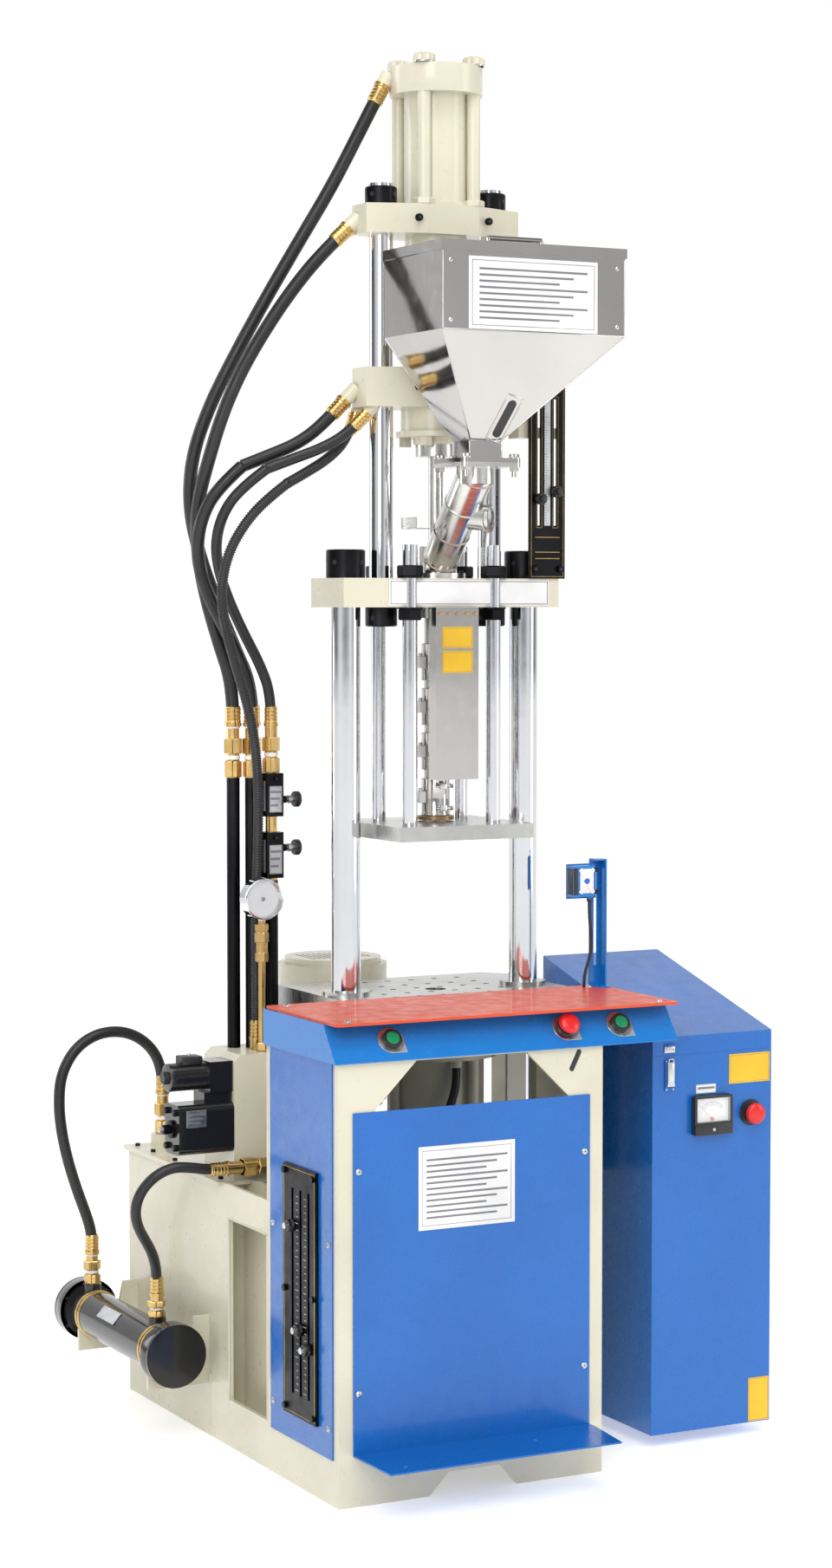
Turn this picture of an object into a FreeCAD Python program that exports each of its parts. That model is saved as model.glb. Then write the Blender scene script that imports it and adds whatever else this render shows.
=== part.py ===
"""Vertical injection moulding machine, one solid per real piece.

Millimetres, +Z up, floor at Z = 0. Pieces are drawn from the front left bottom corner of the
base (X right, Y back), and export() then moves the origin to the middle of the footprint.
"""
import FreeCAD, Part
import math
import os
from FreeCAD import Vector

# ---- clearances ----
FIT = 0.3            # radial clearance of a round piece in its hole
GAP = 0.3            # gap between faces that pass or nearly touch

# ---- base and table ----
PLATE = 8.0          # wall of the welded base
BASE_FRONT_W = 531.0
BASE_REAR_W = 692.0
FRONT_D = 290.0      # depth of the front box
BASE_D = 957.0
TANK_FRONT = 531.0   # clear of the clamp cylinder
LID_FRONT = 498.0
TANK_TOP = 494.0
TANK_OVERHANG = 8.0
TABLE_TOP = 845.0
TABLE_T = 45.0
TABLE_X = (163.0, 647.0)
TABLE_Y = (200.0, 607.0)
SHEET_T = 2.0        # folded sheet of the trim, panels and cabinet
COVER_T = 5.0
COVER_X = (-5.0, 690.0)
COVER_FRONT = -6.0
TRIM_X = (-9.0, 685.0)
TRIM_Z = 780.0
TRIM_SLOPE_D = 49.0  # how far the sloped front leans back
LIP_D = 140.0        # folded lip of the front panel
PANEL_T = 3.0

# ---- clamp unit ----
AXIS = (403.0, 405.0)
COLUMN_R = 27.5
COLUMN_SPAN = 378.0  # between the two main columns
HEAD_Z = 1568.0      # underside of the head platen
HEAD_T = 54.0
HEAD_W = 454.0
HEAD_D = 144.0
COLUMN_NUT_R = 36.5
COLUMN_NUT_H = 53.0
CROSSHEAD_Z = 300.0
CROSSHEAD_H = 60.0
CLAMP_R = 92.0
CLAMP_BORE = 80.0
CLAMP_ROD_R = 40.0
CLAMP_FLANGE_T = 78.0
CLAMP_BOTTOM = 400.0
CLAMP_CAP_R = 118.0
MOULD_Z = 1137.0
MOULD_T = 27.0
MOULD_X = (259.0, 545.0)
MOULD_Y = (272.0, 538.0)
ROD_R = 14.0         # hanging rods
ROD_DX = 88.0
ROD_DY = 65.0

# ---- injection unit ----
INJ_COLUMN_R = 22.5
INJ_SPAN = 230.0
OCT_HALF = (160.0, 70.0)   # half length and half depth of the top and carriage plates
OCT_END = 30.0             # half width of their end faces
OCT_FRONT = 54.0           # half length of their front faces
CARRIAGE_Z = 1939.0
CARRIAGE_T = 73.0
TOP_Z = 2258.0
TOP_T = 54.0
CYL_R = 60.0
CYL_BORE = 52.0
CYL_H = 207.0
CAP_R = 87.0
CAP_T = 52.0
INJ_ROD_R = 25.0
TIE_R = 12.5
TIE_PITCH_R = 73.5
BARREL_R = 22.0
BORE_END = 1180.0    # foot of the barrel bore, above the nozzle
SCREW_R = 14.0
SCREW_TOP = 1850.0
INJECTION_DOWN = 120.0   # travel below the position shown

# ---- hopper ----
HOPPER_X = (246.0, 620.0)
HOPPER_Y = (80.0, 308.0)
HOPPER_Z = (2059.0, 2214.0)
OUTLET = (388.0, 215.0)
NECK_HALF = 33.0
NECK_Z = 1870.0
FLANGE_Z = 1830.0    # meeting face of the two outlet flanges
FLANGE_T = 8.0
FLANGE_HALF = 61.0
STEEL = 2.0          # hopper sheet
PIPE_R = 34.0
PIPE_WALL = 3.0
GATE_Z = 1712.0
LID_GAP = 1.0
LID_RIM = 16.0
LID_AXIS = (315.0, 2216.0)   # Y and Z of the lid hinge
LID_HINGES = (280.0, 550.0)  # left ends of the two hinges

# ---- cabinet ----
CAB_X = (692.0, 955.0)
CAB_Y = (90.0, 500.0)
CAB_Z = (24.0, 736.0)
CAB_LID_FRONT = 771.0
CAB_LID_BACK = 884.0
METER_X = (777.0, 860.0)
METER_Z = (583.0, 657.0)
METER_PROUD = 14.0
STOP_AT = (909.0, 617.0)

# ---- buttons ----
BUTTON_X = (110.0, 462.0, 574.0)
BODY_R = 11.0        # threaded body behind the sheet
PLUNGER_R = 8.5
MUSHROOM_R = 20.0
CAP_BUTTON_R = 12.5
LEGEND_R = 25.0
LEGEND_T = 1.2

# ---- hydraulics ----
MANIFOLD = (27.0, 160.0, 501.0, 640.0, 730.0)
RISER_R = 12.5
RISERS = ((74.0, 606.0), (105.0, 590.0), (121.0, 620.0))
VALVE_RISER = (138.0, 572.0)
RISER_TOP = 1245.0
HOSE_Z = 1345.0
GAUGE = (99.0, 532.0, 1019.0)
GAUGE_R = 39.0
GAUGE_D = 28.0
COOLER_X = -90.0
COOLER_Z = 172.0
COOLER_R = 45.0
COOLER_CAP_R = 60.0
COOLER_Y = (505.0, 985.0)
COOLER_PORTS = (600.0, 932.0)
COOLER_PORT_H = 56.0  # above the cooler axis
MOTOR = (358.0, 760.0)
MOTOR_R = 108.0
MOTOR_TOP = 876.0

# ---- scales ----
SCALE_X = (562.0, 639.0)
SCALE_Y = 328.0
SCALE_Z = (1622.0, 1990.0)
SCALE_SLOTS = (583.0, 618.0)
SCALE_KNOB_Z = (1772.0, 1786.0)
LIMIT_Y = (73.0, 207.0)
LIMIT_Z = (130.0, 579.0)
LIMIT_SLOTS = (101.0, 134.0, 167.0)
LIMIT_KNOB_Z = (261.0, 290.0, 472.0)

# ---- hoses: route points, diameter ----
HOSES = {
    "cylinder_hose": (25.0, [
        (306, 434, 2536), (265, 442, 2456), (212, 455, 2350), (148, 472, 2240), (86, 490, 2130),
        (32, 510, 2025), (-10, 532, 1930), (-32, 556, 1840), (-26, 580, 1750), (4, 600, 1665),
        (42, 612, 1580), (82, 618, 1495), (121, 620, 1415), (121, 620, 1345)]),
    "top_plate_hose": (25.0, [
        (228, 425, 2268), (180, 432, 2222), (128, 440, 2160), (78, 449, 2088), (34, 464, 2010),
        (2, 482, 1930), (-18, 505, 1842), (-28, 540, 1755), (-14, 570, 1670), (12, 590, 1585),
        (44, 603, 1500), (74, 606, 1420), (74, 606, 1345)]),
    "motor_hose": (24.0, [
        (222, 428, 1950), (182, 436, 1906), (138, 446, 1872), (90, 456, 1851), (33, 468, 1828),
        (-12, 482, 1786), (-36, 500, 1732), (-37, 520, 1672), (-15, 541, 1612), (26, 560, 1548),
        (70, 578, 1484), (105, 590, 1412), (105, 590, 1345)]),
    "motor_return_hose": (20.0, [
        (250, 392, 1925), (214, 398, 1888), (170, 410, 1862), (120, 422, 1843), (66, 433, 1822),
        (20, 446, 1786), (-8, 464, 1742), (-14, 486, 1688), (2, 506, 1632), (34, 526, 1574),
        (72, 546, 1516), (112, 562, 1458), (138, 572, 1402), (138, 572, 1345)]),
    "wiring_conduit": (20.0, [
        (252, 440, 1925), (232, 436, 1880), (194, 430, 1846), (150, 426, 1820), (104, 424, 1796),
        (60, 426, 1764), (22, 432, 1722), (-4, 442, 1674), (-14, 456, 1620), (-6, 474, 1564),
        (16, 494, 1508), (42, 512, 1448), (68, 526, 1388), (86, 536, 1325), (96, 542, 1260),
        (100, 548, 1190), (102, 556, 1110), (99, 559, 1000), (100, 560, 870), (100, 560, 750)]),
    "cooler_hose_back": (22.0, [
        (60, 925, 600), (60, 925, 650), (31, 926, 700), (-18, 927, 728), (-76, 928, 728),
        (-125, 929, 700), (-154, 930, 650), (-159, 931, 592), (-153, 931, 534), (-140, 932, 478),
        (-124, 932, 426), (-107, 932, 380), (-95, 932, 346), (-90, 932, 318), (-90, 932, 290)]),
    "cooler_hose_front": (20.0, [
        (4, 482, 522), (-32, 482, 522), (-67, 484, 529), (-103, 489, 532), (-135, 498, 517),
        (-157, 511, 489), (-163, 527, 455), (-153, 544, 421), (-133, 561, 391), (-111, 577, 362),
        (-96, 591, 331), (-90, 600, 300), (-90, 600, 270)]),
    "clamp_hose": (16.0, [
        (391, 299, 710), (391, 299, 682), (385, 299, 655), (374, 299, 629), (358, 303, 605),
        (344, 310, 581), (334, 317, 555), (329, 322, 527), (329, 325, 499), (332, 327, 473),
        (332, 327, 450)]),
    "sensor_cable": (6.0, [
        (656, 262, 1016), (656, 262, 1000), (658, 263, 976), (661, 263, 946), (660, 262, 916),
        (652, 262, 892), (645, 262, 870), (645, 262, 850)]),
}

# Hoses are drawn with the top plate at 2258 and the carriage at 1939, and their upper points follow these.
HOSE_LIFT = {
    "cylinder_hose": TOP_Z + TOP_T + CYL_H - 2519.0, "top_plate_hose": TOP_Z - 2258.0,
    "motor_hose": CARRIAGE_Z - 1939.0, "motor_return_hose": CARRIAGE_Z - 1939.0, "wiring_conduit": CARRIAGE_Z - 1939.0,
}


# ---- drawing helpers ----
def box(x, y, z):
    """A block from three (low, high) pairs."""
    return Part.makeBox(x[1] - x[0], y[1] - y[0], z[1] - z[0], Vector(x[0], y[0], z[0]))


def rod(x, y, z0, z1, r):
    """An upright cylinder."""
    return Part.makeCylinder(r, z1 - z0, Vector(x, y, z0))


def bar(p, q, r):
    """A cylinder from point p to point q."""
    a, b = Vector(*p), Vector(*q)
    return Part.makeCylinder(r, (b - a).Length, a, b - a)


def ring(x, y, z0, z1, outer, inner):
    return rod(x, y, z0, z1, outer).cut(rod(x, y, z0 - 1, z1 + 1, inner))


def prism(points, direction):
    """A flat outline of points pushed along direction."""
    outline = Part.makePolygon([Vector(*p) for p in points + points[:1]])
    return Part.Face(outline).extrude(Vector(*direction))


def prism_z(points, z0, z1):
    return prism([(x, y, z0) for x, y in points], (0, 0, z1 - z0))


def prism_x(points, x0, x1):
    return prism([(x0, y, z) for y, z in points], (x1 - x0, 0, 0))


def prism_y(points, y0, y1):
    return prism([(x, y0, z) for x, z in points], (0, y1 - y0, 0))


def hexagon(x, y, z0, z1, flats):
    r = flats / math.sqrt(3.0)
    turns = [math.radians(60 * k) for k in range(6)]
    return prism_z([(x + r * math.cos(a), y + r * math.sin(a)) for a in turns], z0, z1)


def fuse(*solids):
    return solids[0].multiFuse(list(solids[1:])).removeSplitter()


def cut(solid, *tools):
    return solid.cut(list(tools)) if len(tools) > 1 else solid.cut(tools[0])


def soften(solid, radius, direction):
    """Round the straight edges that run along direction."""
    way = Vector(*direction)
    edges = [e for e in solid.Edges if isinstance(e.Curve, Part.Line)
             and abs(e.tangentAt(e.FirstParameter).dot(way)) > 0.999]
    return solid.makeFillet(radius, edges)


def octagon(z0, z1):
    """The long eight-sided plate of the top plate and the carriage."""
    (hx, hy), e, f = OCT_HALF, OCT_END, OCT_FRONT
    corners = [(-hx, -e), (-f, -hy), (f, -hy), (hx, -e), (hx, e), (f, hy), (-f, hy), (-hx, e)]
    return prism_z([(AXIS[0] + x, AXIS[1] + y) for x, y in corners], z0, z1)


def pair_x(span):
    """X of two pieces set evenly about the main axis."""
    return AXIS[0] - span / 2, AXIS[0] + span / 2


def rod_places():
    return [(AXIS[0] + sx * ROD_DX, AXIS[1] + sy * ROD_DY) for sx in (-1, 1) for sy in (-1, 1)]


def tie_places(radius, first):
    """Four tie rods about the main axis, the first at the angle given in degrees."""
    turns = [math.radians(first + 90 * k) for k in range(4)]
    return [(AXIS[0] + radius * math.cos(a), AXIS[1] + radius * math.sin(a)) for a in turns]


def hose(points, diameter):
    """A round tube along straight runs joined by tangent arcs, its tightest radius and volume."""
    p = [Vector(*q) for q in points]
    edges, start, tightest, length = [], p[0], math.inf, 0.0
    for a, b, c in zip(p, p[1:], p[2:]):
        back, ahead = (a - b).normalize(), (c - b).normalize()
        half = (math.pi - back.getAngle(ahead)) / 2
        setback = 0.45 * min((a - b).Length, (c - b).Length)
        radius = setback / math.tan(half)
        tightest = min(tightest, radius)
        into, out = b + back * setback, b + ahead * setback
        middle = (back + ahead).normalize()
        inner = b + middle * (radius / math.cos(half) - radius)
        edges += [Part.LineSegment(start, into).toShape(), Part.Arc(into, inner, out).toShape()]
        start = out
    edges.append(Part.LineSegment(start, p[-1]).toShape())
    path = Part.Wire(edges)
    profile = Part.Wire(Part.makeCircle(diameter / 2, p[0], p[1] - p[0]))
    tube = path.makePipeShell([profile], True, True)
    length = sum(e.Length for e in edges)
    return tube, tightest, length


def route(name):
    """A hose's points, raised towards its top as far as the plate that it hangs from stands above its drawn place."""
    points = HOSES[name][1]
    lift = HOSE_LIFT.get(name, 0.0)
    if not lift:
        return points
    span = points[1][2] - HOSE_Z
    return [(x, y, z + lift * min(1.0, max(0.0, (z - HOSE_Z) / span))) for x, y, z in points]


def hose_port(name, length, r):
    """Round boss that runs back from a hose's first point, in line with its first run."""
    a, b = [Vector(*p) for p in route(name)[:2]]
    back = (a - b).normalize()
    return bar(a, a + back * length, r)


# ---- base ----
def top_frame():
    """The flat frame under the table, open for the clamp cylinder."""
    z = (TABLE_TOP - TABLE_T - PLATE, TABLE_TOP - TABLE_T)
    flat = fuse(box((0, BASE_FRONT_W), (10, FRONT_D), z), box(TABLE_X, (FRONT_D, TABLE_Y[1]), z),
                box((0, BASE_FRONT_W), (PLATE, 17), (779, z[0])))
    through = (z[0] - 1, z[1] + 1)
    tools = [box((270, 536), (280, 530), through), box((40, 490), (40, 190), through)]
    tools += [rod(x, AXIS[1], *through, COLUMN_R + 16) for x in pair_x(COLUMN_SPAN)]
    tools += [box((x - 16, x + 16), (PLATE, 60), through) for x in BUTTON_X[:2]]
    return cut(flat, *tools)


def front_plate():
    """Front plate with its gusseted window and the notch that leaves two feet."""
    top = TRIM_Z + 5
    plate = prism_y([(0, 0), (178, 0), (218, 40), (322, 40), (355, 0), (BASE_FRONT_W, 0),
                     (BASE_FRONT_W, top), (0, top)], 0, PLATE)
    window = prism_y([(73, 130), (461, 130), (461, 692), (374, 777), (153, 777), (73, 697)], -1, PLATE + 1)
    return plate.cut(window)


def side_walls():
    top = TABLE_TOP - TABLE_T
    left = prism_x([(0, 0), (FRONT_D, 0), (FRONT_D, top), (12, top), (0, TRIM_Z + 5)], 0, PLATE)
    rear = box((0, PLATE), (FRONT_D, BASE_D), (0, TANK_TOP))
    rear = rear.cut(box((-1, PLATE + 1), (296, 465), (89, 430)))
    right = box((BASE_FRONT_W - PLATE, BASE_FRONT_W), (0, FRONT_D), (0, TANK_TOP))
    step = box((BASE_FRONT_W - PLATE, BASE_REAR_W), (FRONT_D - PLATE, FRONT_D), (0, TANK_TOP))
    far = box((BASE_REAR_W - PLATE, BASE_REAR_W), (FRONT_D, BASE_D), (0, TANK_TOP))
    guard = box((60, 60 + PLATE), (FRONT_D - PLATE, TANK_FRONT), (0, TANK_TOP))
    tie = box((0, 60), (FRONT_D - PLATE, FRONT_D), (0, 60))
    post = box((BASE_FRONT_W - 40, BASE_FRONT_W), (FRONT_D - PLATE, FRONT_D), (TANK_TOP, top))
    return [left, rear, right, step, far, guard, tie, post]


def tank():
    """Oil tank across the back of the base, hollow, with a lid that stands proud."""
    outer = box((0, BASE_REAR_W), (TANK_FRONT, BASE_D), (40, TANK_TOP - PLATE))
    inner = box((PLATE, BASE_REAR_W - PLATE), (TANK_FRONT + PLATE, BASE_D - PLATE), (48, TANK_TOP - PLATE))
    lid = box((-TANK_OVERHANG, BASE_REAR_W), (LID_FRONT, BASE_D + TANK_OVERHANG), (TANK_TOP - PLATE, TANK_TOP))
    lid = lid.cut(rod(*AXIS, TANK_TOP - PLATE - 1, TANK_TOP + 1, CLAMP_CAP_R + 6))
    pump_hole = rod(MOTOR[0], MOTOR[1], TANK_TOP - PLATE - 1, TANK_TOP + 1, 56 + FIT)
    return fuse(outer.cut(inner), lid).cut(pump_hole)


def saddle(y):
    """Plate on the base wall whose hollow carries the oil cooler."""
    left = COOLER_X - 35
    plate = prism_y([(left, 100), (0, 100), (0, 230), (-30, 230), (-44, 160), (left, 160)], y, y + PLATE)
    return plate.cut(bar((COOLER_X, y - 1, COOLER_Z), (COOLER_X, y + PLATE + 1, COOLER_Z), COOLER_R + GAP))


def base_frame():
    z = (TANK_TOP, TABLE_TOP - TABLE_T - PLATE)
    cheeks = [box((x, x + 12), (FRONT_D - PLATE, TABLE_Y[1]), z) for x in (TABLE_X[0], TABLE_X[1] - 12)]
    boss = ring(60, 925, TANK_TOP, TANK_TOP + 24, 24, 12)
    saddles = [saddle(y) for y in (560, 915)]
    return [fuse(front_plate(), *side_walls(), tank(), top_frame(), *cheeks, boss, *saddles)]


def work_table():
    z0 = TABLE_TOP - TABLE_T
    x, y = TABLE_X, TABLE_Y
    chamfer = 40
    outline = [(x[0], y[0]), (x[1], y[0]), (x[1], y[1] - chamfer), (x[1] - chamfer, y[1]), (x[0], y[1])]
    plate = prism_z(outline, z0, TABLE_TOP)
    bush_r = COLUMN_R + 8
    holes = [rod(c, AXIS[1], z0 - 1, TABLE_TOP + 1, bush_r + FIT) for c in pair_x(COLUMN_SPAN)]
    grid = [(AXIS[0] + dx, AXIS[1] + dy) for dx in (-125, -75, -25, 25, 75, 125) for dy in (-80, -30, 30, 80, 150)]
    holes += [rod(gx, gy, TABLE_TOP - 30, TABLE_TOP + 1, 6) for gx, gy in grid]
    holes.append(rod(AXIS[0], AXIS[1], z0 - 1, TABLE_TOP + 1, 20))
    bushes = [cut(fuse(rod(c, AXIS[1], z0, TABLE_TOP, bush_r), rod(c, AXIS[1], TABLE_TOP, TABLE_TOP + 7, bush_r + 9)),
                  rod(c, AXIS[1], z0 - 1, TABLE_TOP + 8, COLUMN_R + FIT)) for c in pair_x(COLUMN_SPAN)]
    return [cut(plate, *holes)] + bushes


def table_cover():
    sheet = box(COVER_X, (COVER_FRONT, FRONT_D), (TABLE_TOP, TABLE_TOP + COVER_T))
    sheet = soften(sheet, 8, (0, 0, 1))
    corners = [(x, y) for x in (COVER_X[0] + 18, COVER_X[1] - 18) for y in (COVER_FRONT + 22, 190)]
    return [cut(sheet, *[rod(x, y, TABLE_TOP - 1, TABLE_TOP + COVER_T + 1, 3.5) for x, y in corners])]


# The trim's front leans back from its lower edge to the cover, and its buttons stand square on it.
SLOPE_UP = Vector(0, TRIM_SLOPE_D, TABLE_TOP - TRIM_Z).normalize()
SLOPE_OUT = Vector(0, -SLOPE_UP.z, SLOPE_UP.y)
SLOPE_FOOT = Vector(0, TRIM_X[0], TRIM_Z)
SLOPE_LENGTH = math.hypot(TRIM_SLOPE_D, TABLE_TOP - TRIM_Z)


def slope_point(x, out):
    """A point above the middle of the trim's sloped front."""
    p = SLOPE_FOOT + SLOPE_UP * (SLOPE_LENGTH / 2) + SLOPE_OUT * out
    return (x, p.y, p.z)


def front_point(out):
    """A point before the cabinet's stop button."""
    return (STOP_AT[0], CAB_Y[0] - out, STOP_AT[1])


def front_trim():
    y0, y1 = TRIM_X[0], TRIM_X[0] + TRIM_SLOPE_D
    t, z = SHEET_T, (TRIM_Z, TABLE_TOP)
    fold = prism_x([(y0, z[0]), (y1, z[1]), (TABLE_Y[0], z[1]), (TABLE_Y[0], z[1] - t), (y1 + 1, z[1] - t),
                    (y0 + t * 1.2, z[0])], *TRIM_X)
    left = prism_x([(y0, z[0]), (y1, z[1]), (FRONT_D, z[1]), (FRONT_D, z[0])], TRIM_X[0], TRIM_X[0] + t)
    right = prism_x([(y0, z[0]), (y1, z[1]), (80, z[1]), (80, z[0])], TRIM_X[1] - t, TRIM_X[1])
    lip = box(TRIM_X, (y0, -GAP), (z[0], z[0] + t))
    side_lip = box((TRIM_X[0], -GAP), (y0, FRONT_D), (z[0], z[0] + t))
    holes = [bar(slope_point(x, 5), slope_point(x, -12), BODY_R + FIT) for x in BUTTON_X]
    return [cut(fuse(fold, left, right, lip, side_lip), *holes)]


def screw_head(p, out, r=5.0, h=2.5):
    """A pan head seated at p, standing out along the unit vector out."""
    q = [a + b * h for a, b in zip(p, out)]
    return bar(p, q, r)


def front_panel():
    x, z0 = (28, 503), 90
    face = box(x, (-PANEL_T, 0), (z0, 693))
    lip = prism_z([(x[0], 0), (x[0] + 2, -LIP_D), (x[1] - 13, -LIP_D), (x[1] - 1, -30), (x[1], 0)], z0, z0 + PANEL_T)
    sheet = fuse(face, lip)
    sheet = cut(sheet, *[rod(hx, hy, z0 - 1, z0 + PANEL_T + 1, 5) for hx, hy in ((76, -108), (361, -59))])
    screws = [screw_head((sx, -PANEL_T, sz), (0, -1, 0)) for sx in (38, 492) for sz in (200, 590)]
    return [sheet] + screws


def side_panel():
    sheet = box((-PANEL_T, 0), (19, 275), (82, TRIM_Z - GAP))
    screws = [screw_head((-PANEL_T, sy, sz), (-1, 0, 0)) for sy in (33, 262) for sz in (135, 459)]
    return [sheet] + screws


def limit_plate():
    """Black plate with three slots that carries the limit knobs."""
    x = (-PANEL_T - 6, -PANEL_T)
    plate = box(x, LIMIT_Y, LIMIT_Z)
    slots = [box((x[0] - 1, x[1] + 1), (y - 4.5, y + 4.5), (LIMIT_Z[0] + 40, LIMIT_Z[1] - 40)) for y in LIMIT_SLOTS]
    bolts = [screw_head((x[0], y, z), (-1, 0, 0), 6, 5) for y in (LIMIT_Y[0] + 9, LIMIT_Y[1] - 9)
             for z in (LIMIT_Z[0] + 12, sum(LIMIT_Z) / 2, LIMIT_Z[1] - 12)]
    return [cut(plate, *slots)] + bolts


def limit_knob(index):
    y, z, x = LIMIT_SLOTS[index], LIMIT_KNOB_Z[index], -PANEL_T - 6
    shank = bar((-PANEL_T - GAP, y, z), (x - 1, y, z), 4.2)
    head = bar((x - GAP, y, z), (x - 12, y, z), 11)
    return [fuse(shank, head, bar((x - 12, y, z), (x - 18, y, z), 6))]


# ---- cabinet ----
def hinge_leaf(x0, x1, up):
    """A knuckle with its leaf on the cabinet's back: up is 1 on the lid and -1 on the box."""
    y, z = CAB_Y[1], CAB_Z[1]
    knuckle = bar((x0, y + 7, z), (x1, y + 7, z), 6)
    leaf = box((x0, x1), (y, y + 2), (z, z + 30)) if up > 0 else box((x0, x1), (y, y + 2), (z - 30, z))
    web = box((x0, x1), (y, y + 7), (z, z + 2)) if up > 0 else box((x0, x1), (y, y + 7), (z - 2, z))
    return fuse(knuckle, leaf, web).cut(bar((x0 - 1, y + 7, z), (x1 + 1, y + 7, z), 3))


def cabinet_body():
    t = 2.5
    shell = box(CAB_X, CAB_Y, CAB_Z)
    inside = box((CAB_X[0] + t, CAB_X[1] - t), (CAB_Y[0] + t, CAB_Y[1] - t), (CAB_Z[0] + t, CAB_Z[1] + 1))
    mx, mz = sum(METER_X) / 2, sum(METER_Z) / 2
    holes = [bar((mx, CAB_Y[0] - 1, mz), (mx, CAB_Y[0] + t + 1, mz), 28 + FIT),
             bar(front_point(1), front_point(-t - 1), BODY_R + FIT)]
    latch = box((718, 738), (CAB_Y[0] - 3, CAB_Y[0]), (670, 727))
    leaves = [hinge_leaf(x, x + 24, -1) for x in (CAB_X[0] + 40, CAB_X[1] - 88)]
    pins = [bar((x, CAB_Y[1] + 7, CAB_Z[1]), (x + 48 + GAP, CAB_Y[1] + 7, CAB_Z[1]), 3) for x in (CAB_X[0] + 40, CAB_X[1] - 88)]
    return [fuse(cut(shell, inside, *holes), *leaves, *pins), latch]


def cabinet_lid():
    t, y, z = SHEET_T, CAB_Y, CAB_Z[1] + GAP
    outer = prism_x([(y[0], z), (y[0], CAB_LID_FRONT), (y[1], CAB_LID_BACK), (y[1], z)], *CAB_X)
    slope = (CAB_LID_BACK - CAB_LID_FRONT) / (y[1] - y[0])
    inner = prism_x([(y[0] + t, z - 1), (y[0] + t, CAB_LID_FRONT - t), (y[1] - t, CAB_LID_BACK - t - slope * t),
                     (y[1] - t, z - 1)], CAB_X[0] + t, CAB_X[1] - t)
    leaves = [hinge_leaf(x + 24 + GAP, x + 48, 1) for x in (CAB_X[0] + 40, CAB_X[1] - 88)]
    pins = [bar((x - 1, y[1] + 7, CAB_Z[1]), (x + 60, y[1] + 7, CAB_Z[1]), 3 + FIT) for x in (CAB_X[0] + 40, CAB_X[1] - 88)]
    under = [box((CAB_X[0] + 1, CAB_X[1] - 1), (y[1] - 1, y[1] + 3.5), (CAB_Z[1] - 1, z))]
    shell = cut(fuse(outer.cut(inner), *leaves), *pins, *under)
    catch = fuse(box((717, 739), (y[0] - 2, y[0]), (742, 758)), box((721, 735), (y[0] - 6, y[0] - 2), (754, 757)))
    return [shell, catch]


def latch_lever():
    """Toggle lever of the cabinet latch, pivoted at its lower end."""
    y = CAB_Y[0] - 3 - GAP
    return [fuse(box((721, 735), (y - 5, y), (681, 724)), bar((720, y - 2.5, 681), (736, y - 2.5, 681), 2.5))]


def panel_meter():
    y0 = CAB_Y[0] - METER_PROUD
    face = soften(box(METER_X, (y0, CAB_Y[0]), METER_Z), 4, (0, 1, 0))
    mx, mz = sum(METER_X) / 2, sum(METER_Z) / 2
    well = box((METER_X[0] + 5, METER_X[1] - 5), (y0 - 1, y0 + 8), (METER_Z[0] + 24, METER_Z[1] - 5))
    pot = bar((mx, CAB_Y[0], mz), (mx, CAB_Y[0] + 40, mz), 28)
    return [fuse(face.cut(well), pot)]


def meter_needle():
    y = CAB_Y[0] - METER_PROUD + 8 - GAP
    mx, z = sum(METER_X) / 2, METER_Z[0] + 29
    hub = bar((mx, y, z), (mx, y - 3, z), 3.5)
    return [fuse(hub, prism_y([(mx + 1, z - 1), (mx - 28, z + 27), (mx - 1, z + 1)], y - 2, y - 1))]


# ---- buttons ----
def housing(at, bezel_r, bezel_h, well_r):
    """Legend plate, and the bezel with its threaded body behind the sheet."""
    plate = bar(at(0), at(LEGEND_T), LEGEND_R).cut(bar(at(-1), at(3), BODY_R + FIT))
    top = LEGEND_T + bezel_h
    body = fuse(bar(at(LEGEND_T), at(top), bezel_r), bar(at(-30), at(LEGEND_T), BODY_R))
    return [plate, cut(body, bar(at(-27), at(top + 1), PLUNGER_R + FIT), bar(at(LEGEND_T + 1), at(top + 1), well_r + FIT))]


def button_housings():
    solids = []
    for x, r, h, well in zip(BUTTON_X, (18, 15, 18), (9, 4, 9), (CAP_BUTTON_R, PLUNGER_R, CAP_BUTTON_R)):
        solids += housing(lambda out, x=x: slope_point(x, out), r, h, well)
    return solids + housing(front_point, 15, 4, PLUNGER_R)


def start_button(x):
    return [fuse(bar(slope_point(x, -21), slope_point(x, 7), PLUNGER_R),
                 bar(slope_point(x, 7), slope_point(x, 12.5), CAP_BUTTON_R))]


def mushroom(at):
    """Red mushroom head on its plunger."""
    head = fuse(bar(at(13), at(22), MUSHROOM_R), bar(at(22), at(26), MUSHROOM_R - 4))
    return [fuse(head, bar(at(-19), at(13), PLUNGER_R))]


# ---- sensor ----
def sensor():
    x, y, z0, z1 = (664, 689), (252, 277), TABLE_TOP + COVER_T, 1093
    post = fuse(box(x, (y[1] - 3, y[1]), (z0, z1)), box((x[1] - 3, x[1]), y, (z0, z1)),
                box(x, (y[0] - 14, y[1]), (z0, z0 + 3)), box(x, y, (z1 - 3, z1)))
    slot = box((x[0] + 9, x[0] + 16), (y[1] - 4, y[1] + 1), (z0 + 40, z1 - 20))
    block = box((612, x[0] - 5), (246, 270), (1023, 1082))
    bracket = box((612, x[0] + 12), (271, y[1] - 3), (1018, 1084))
    bolts = [bar((x[0] + 8, 271, z), (x[0] + 8, 264, z), 4) for z in (1030, 1072)]
    plug = rod(656, 262, 1016, 1023, 5)
    return [post.cut(slot), fuse(block, box((612, x[0] - 5), (270, 271), (1030, 1075)), bracket, plug, *bolts)]


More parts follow.
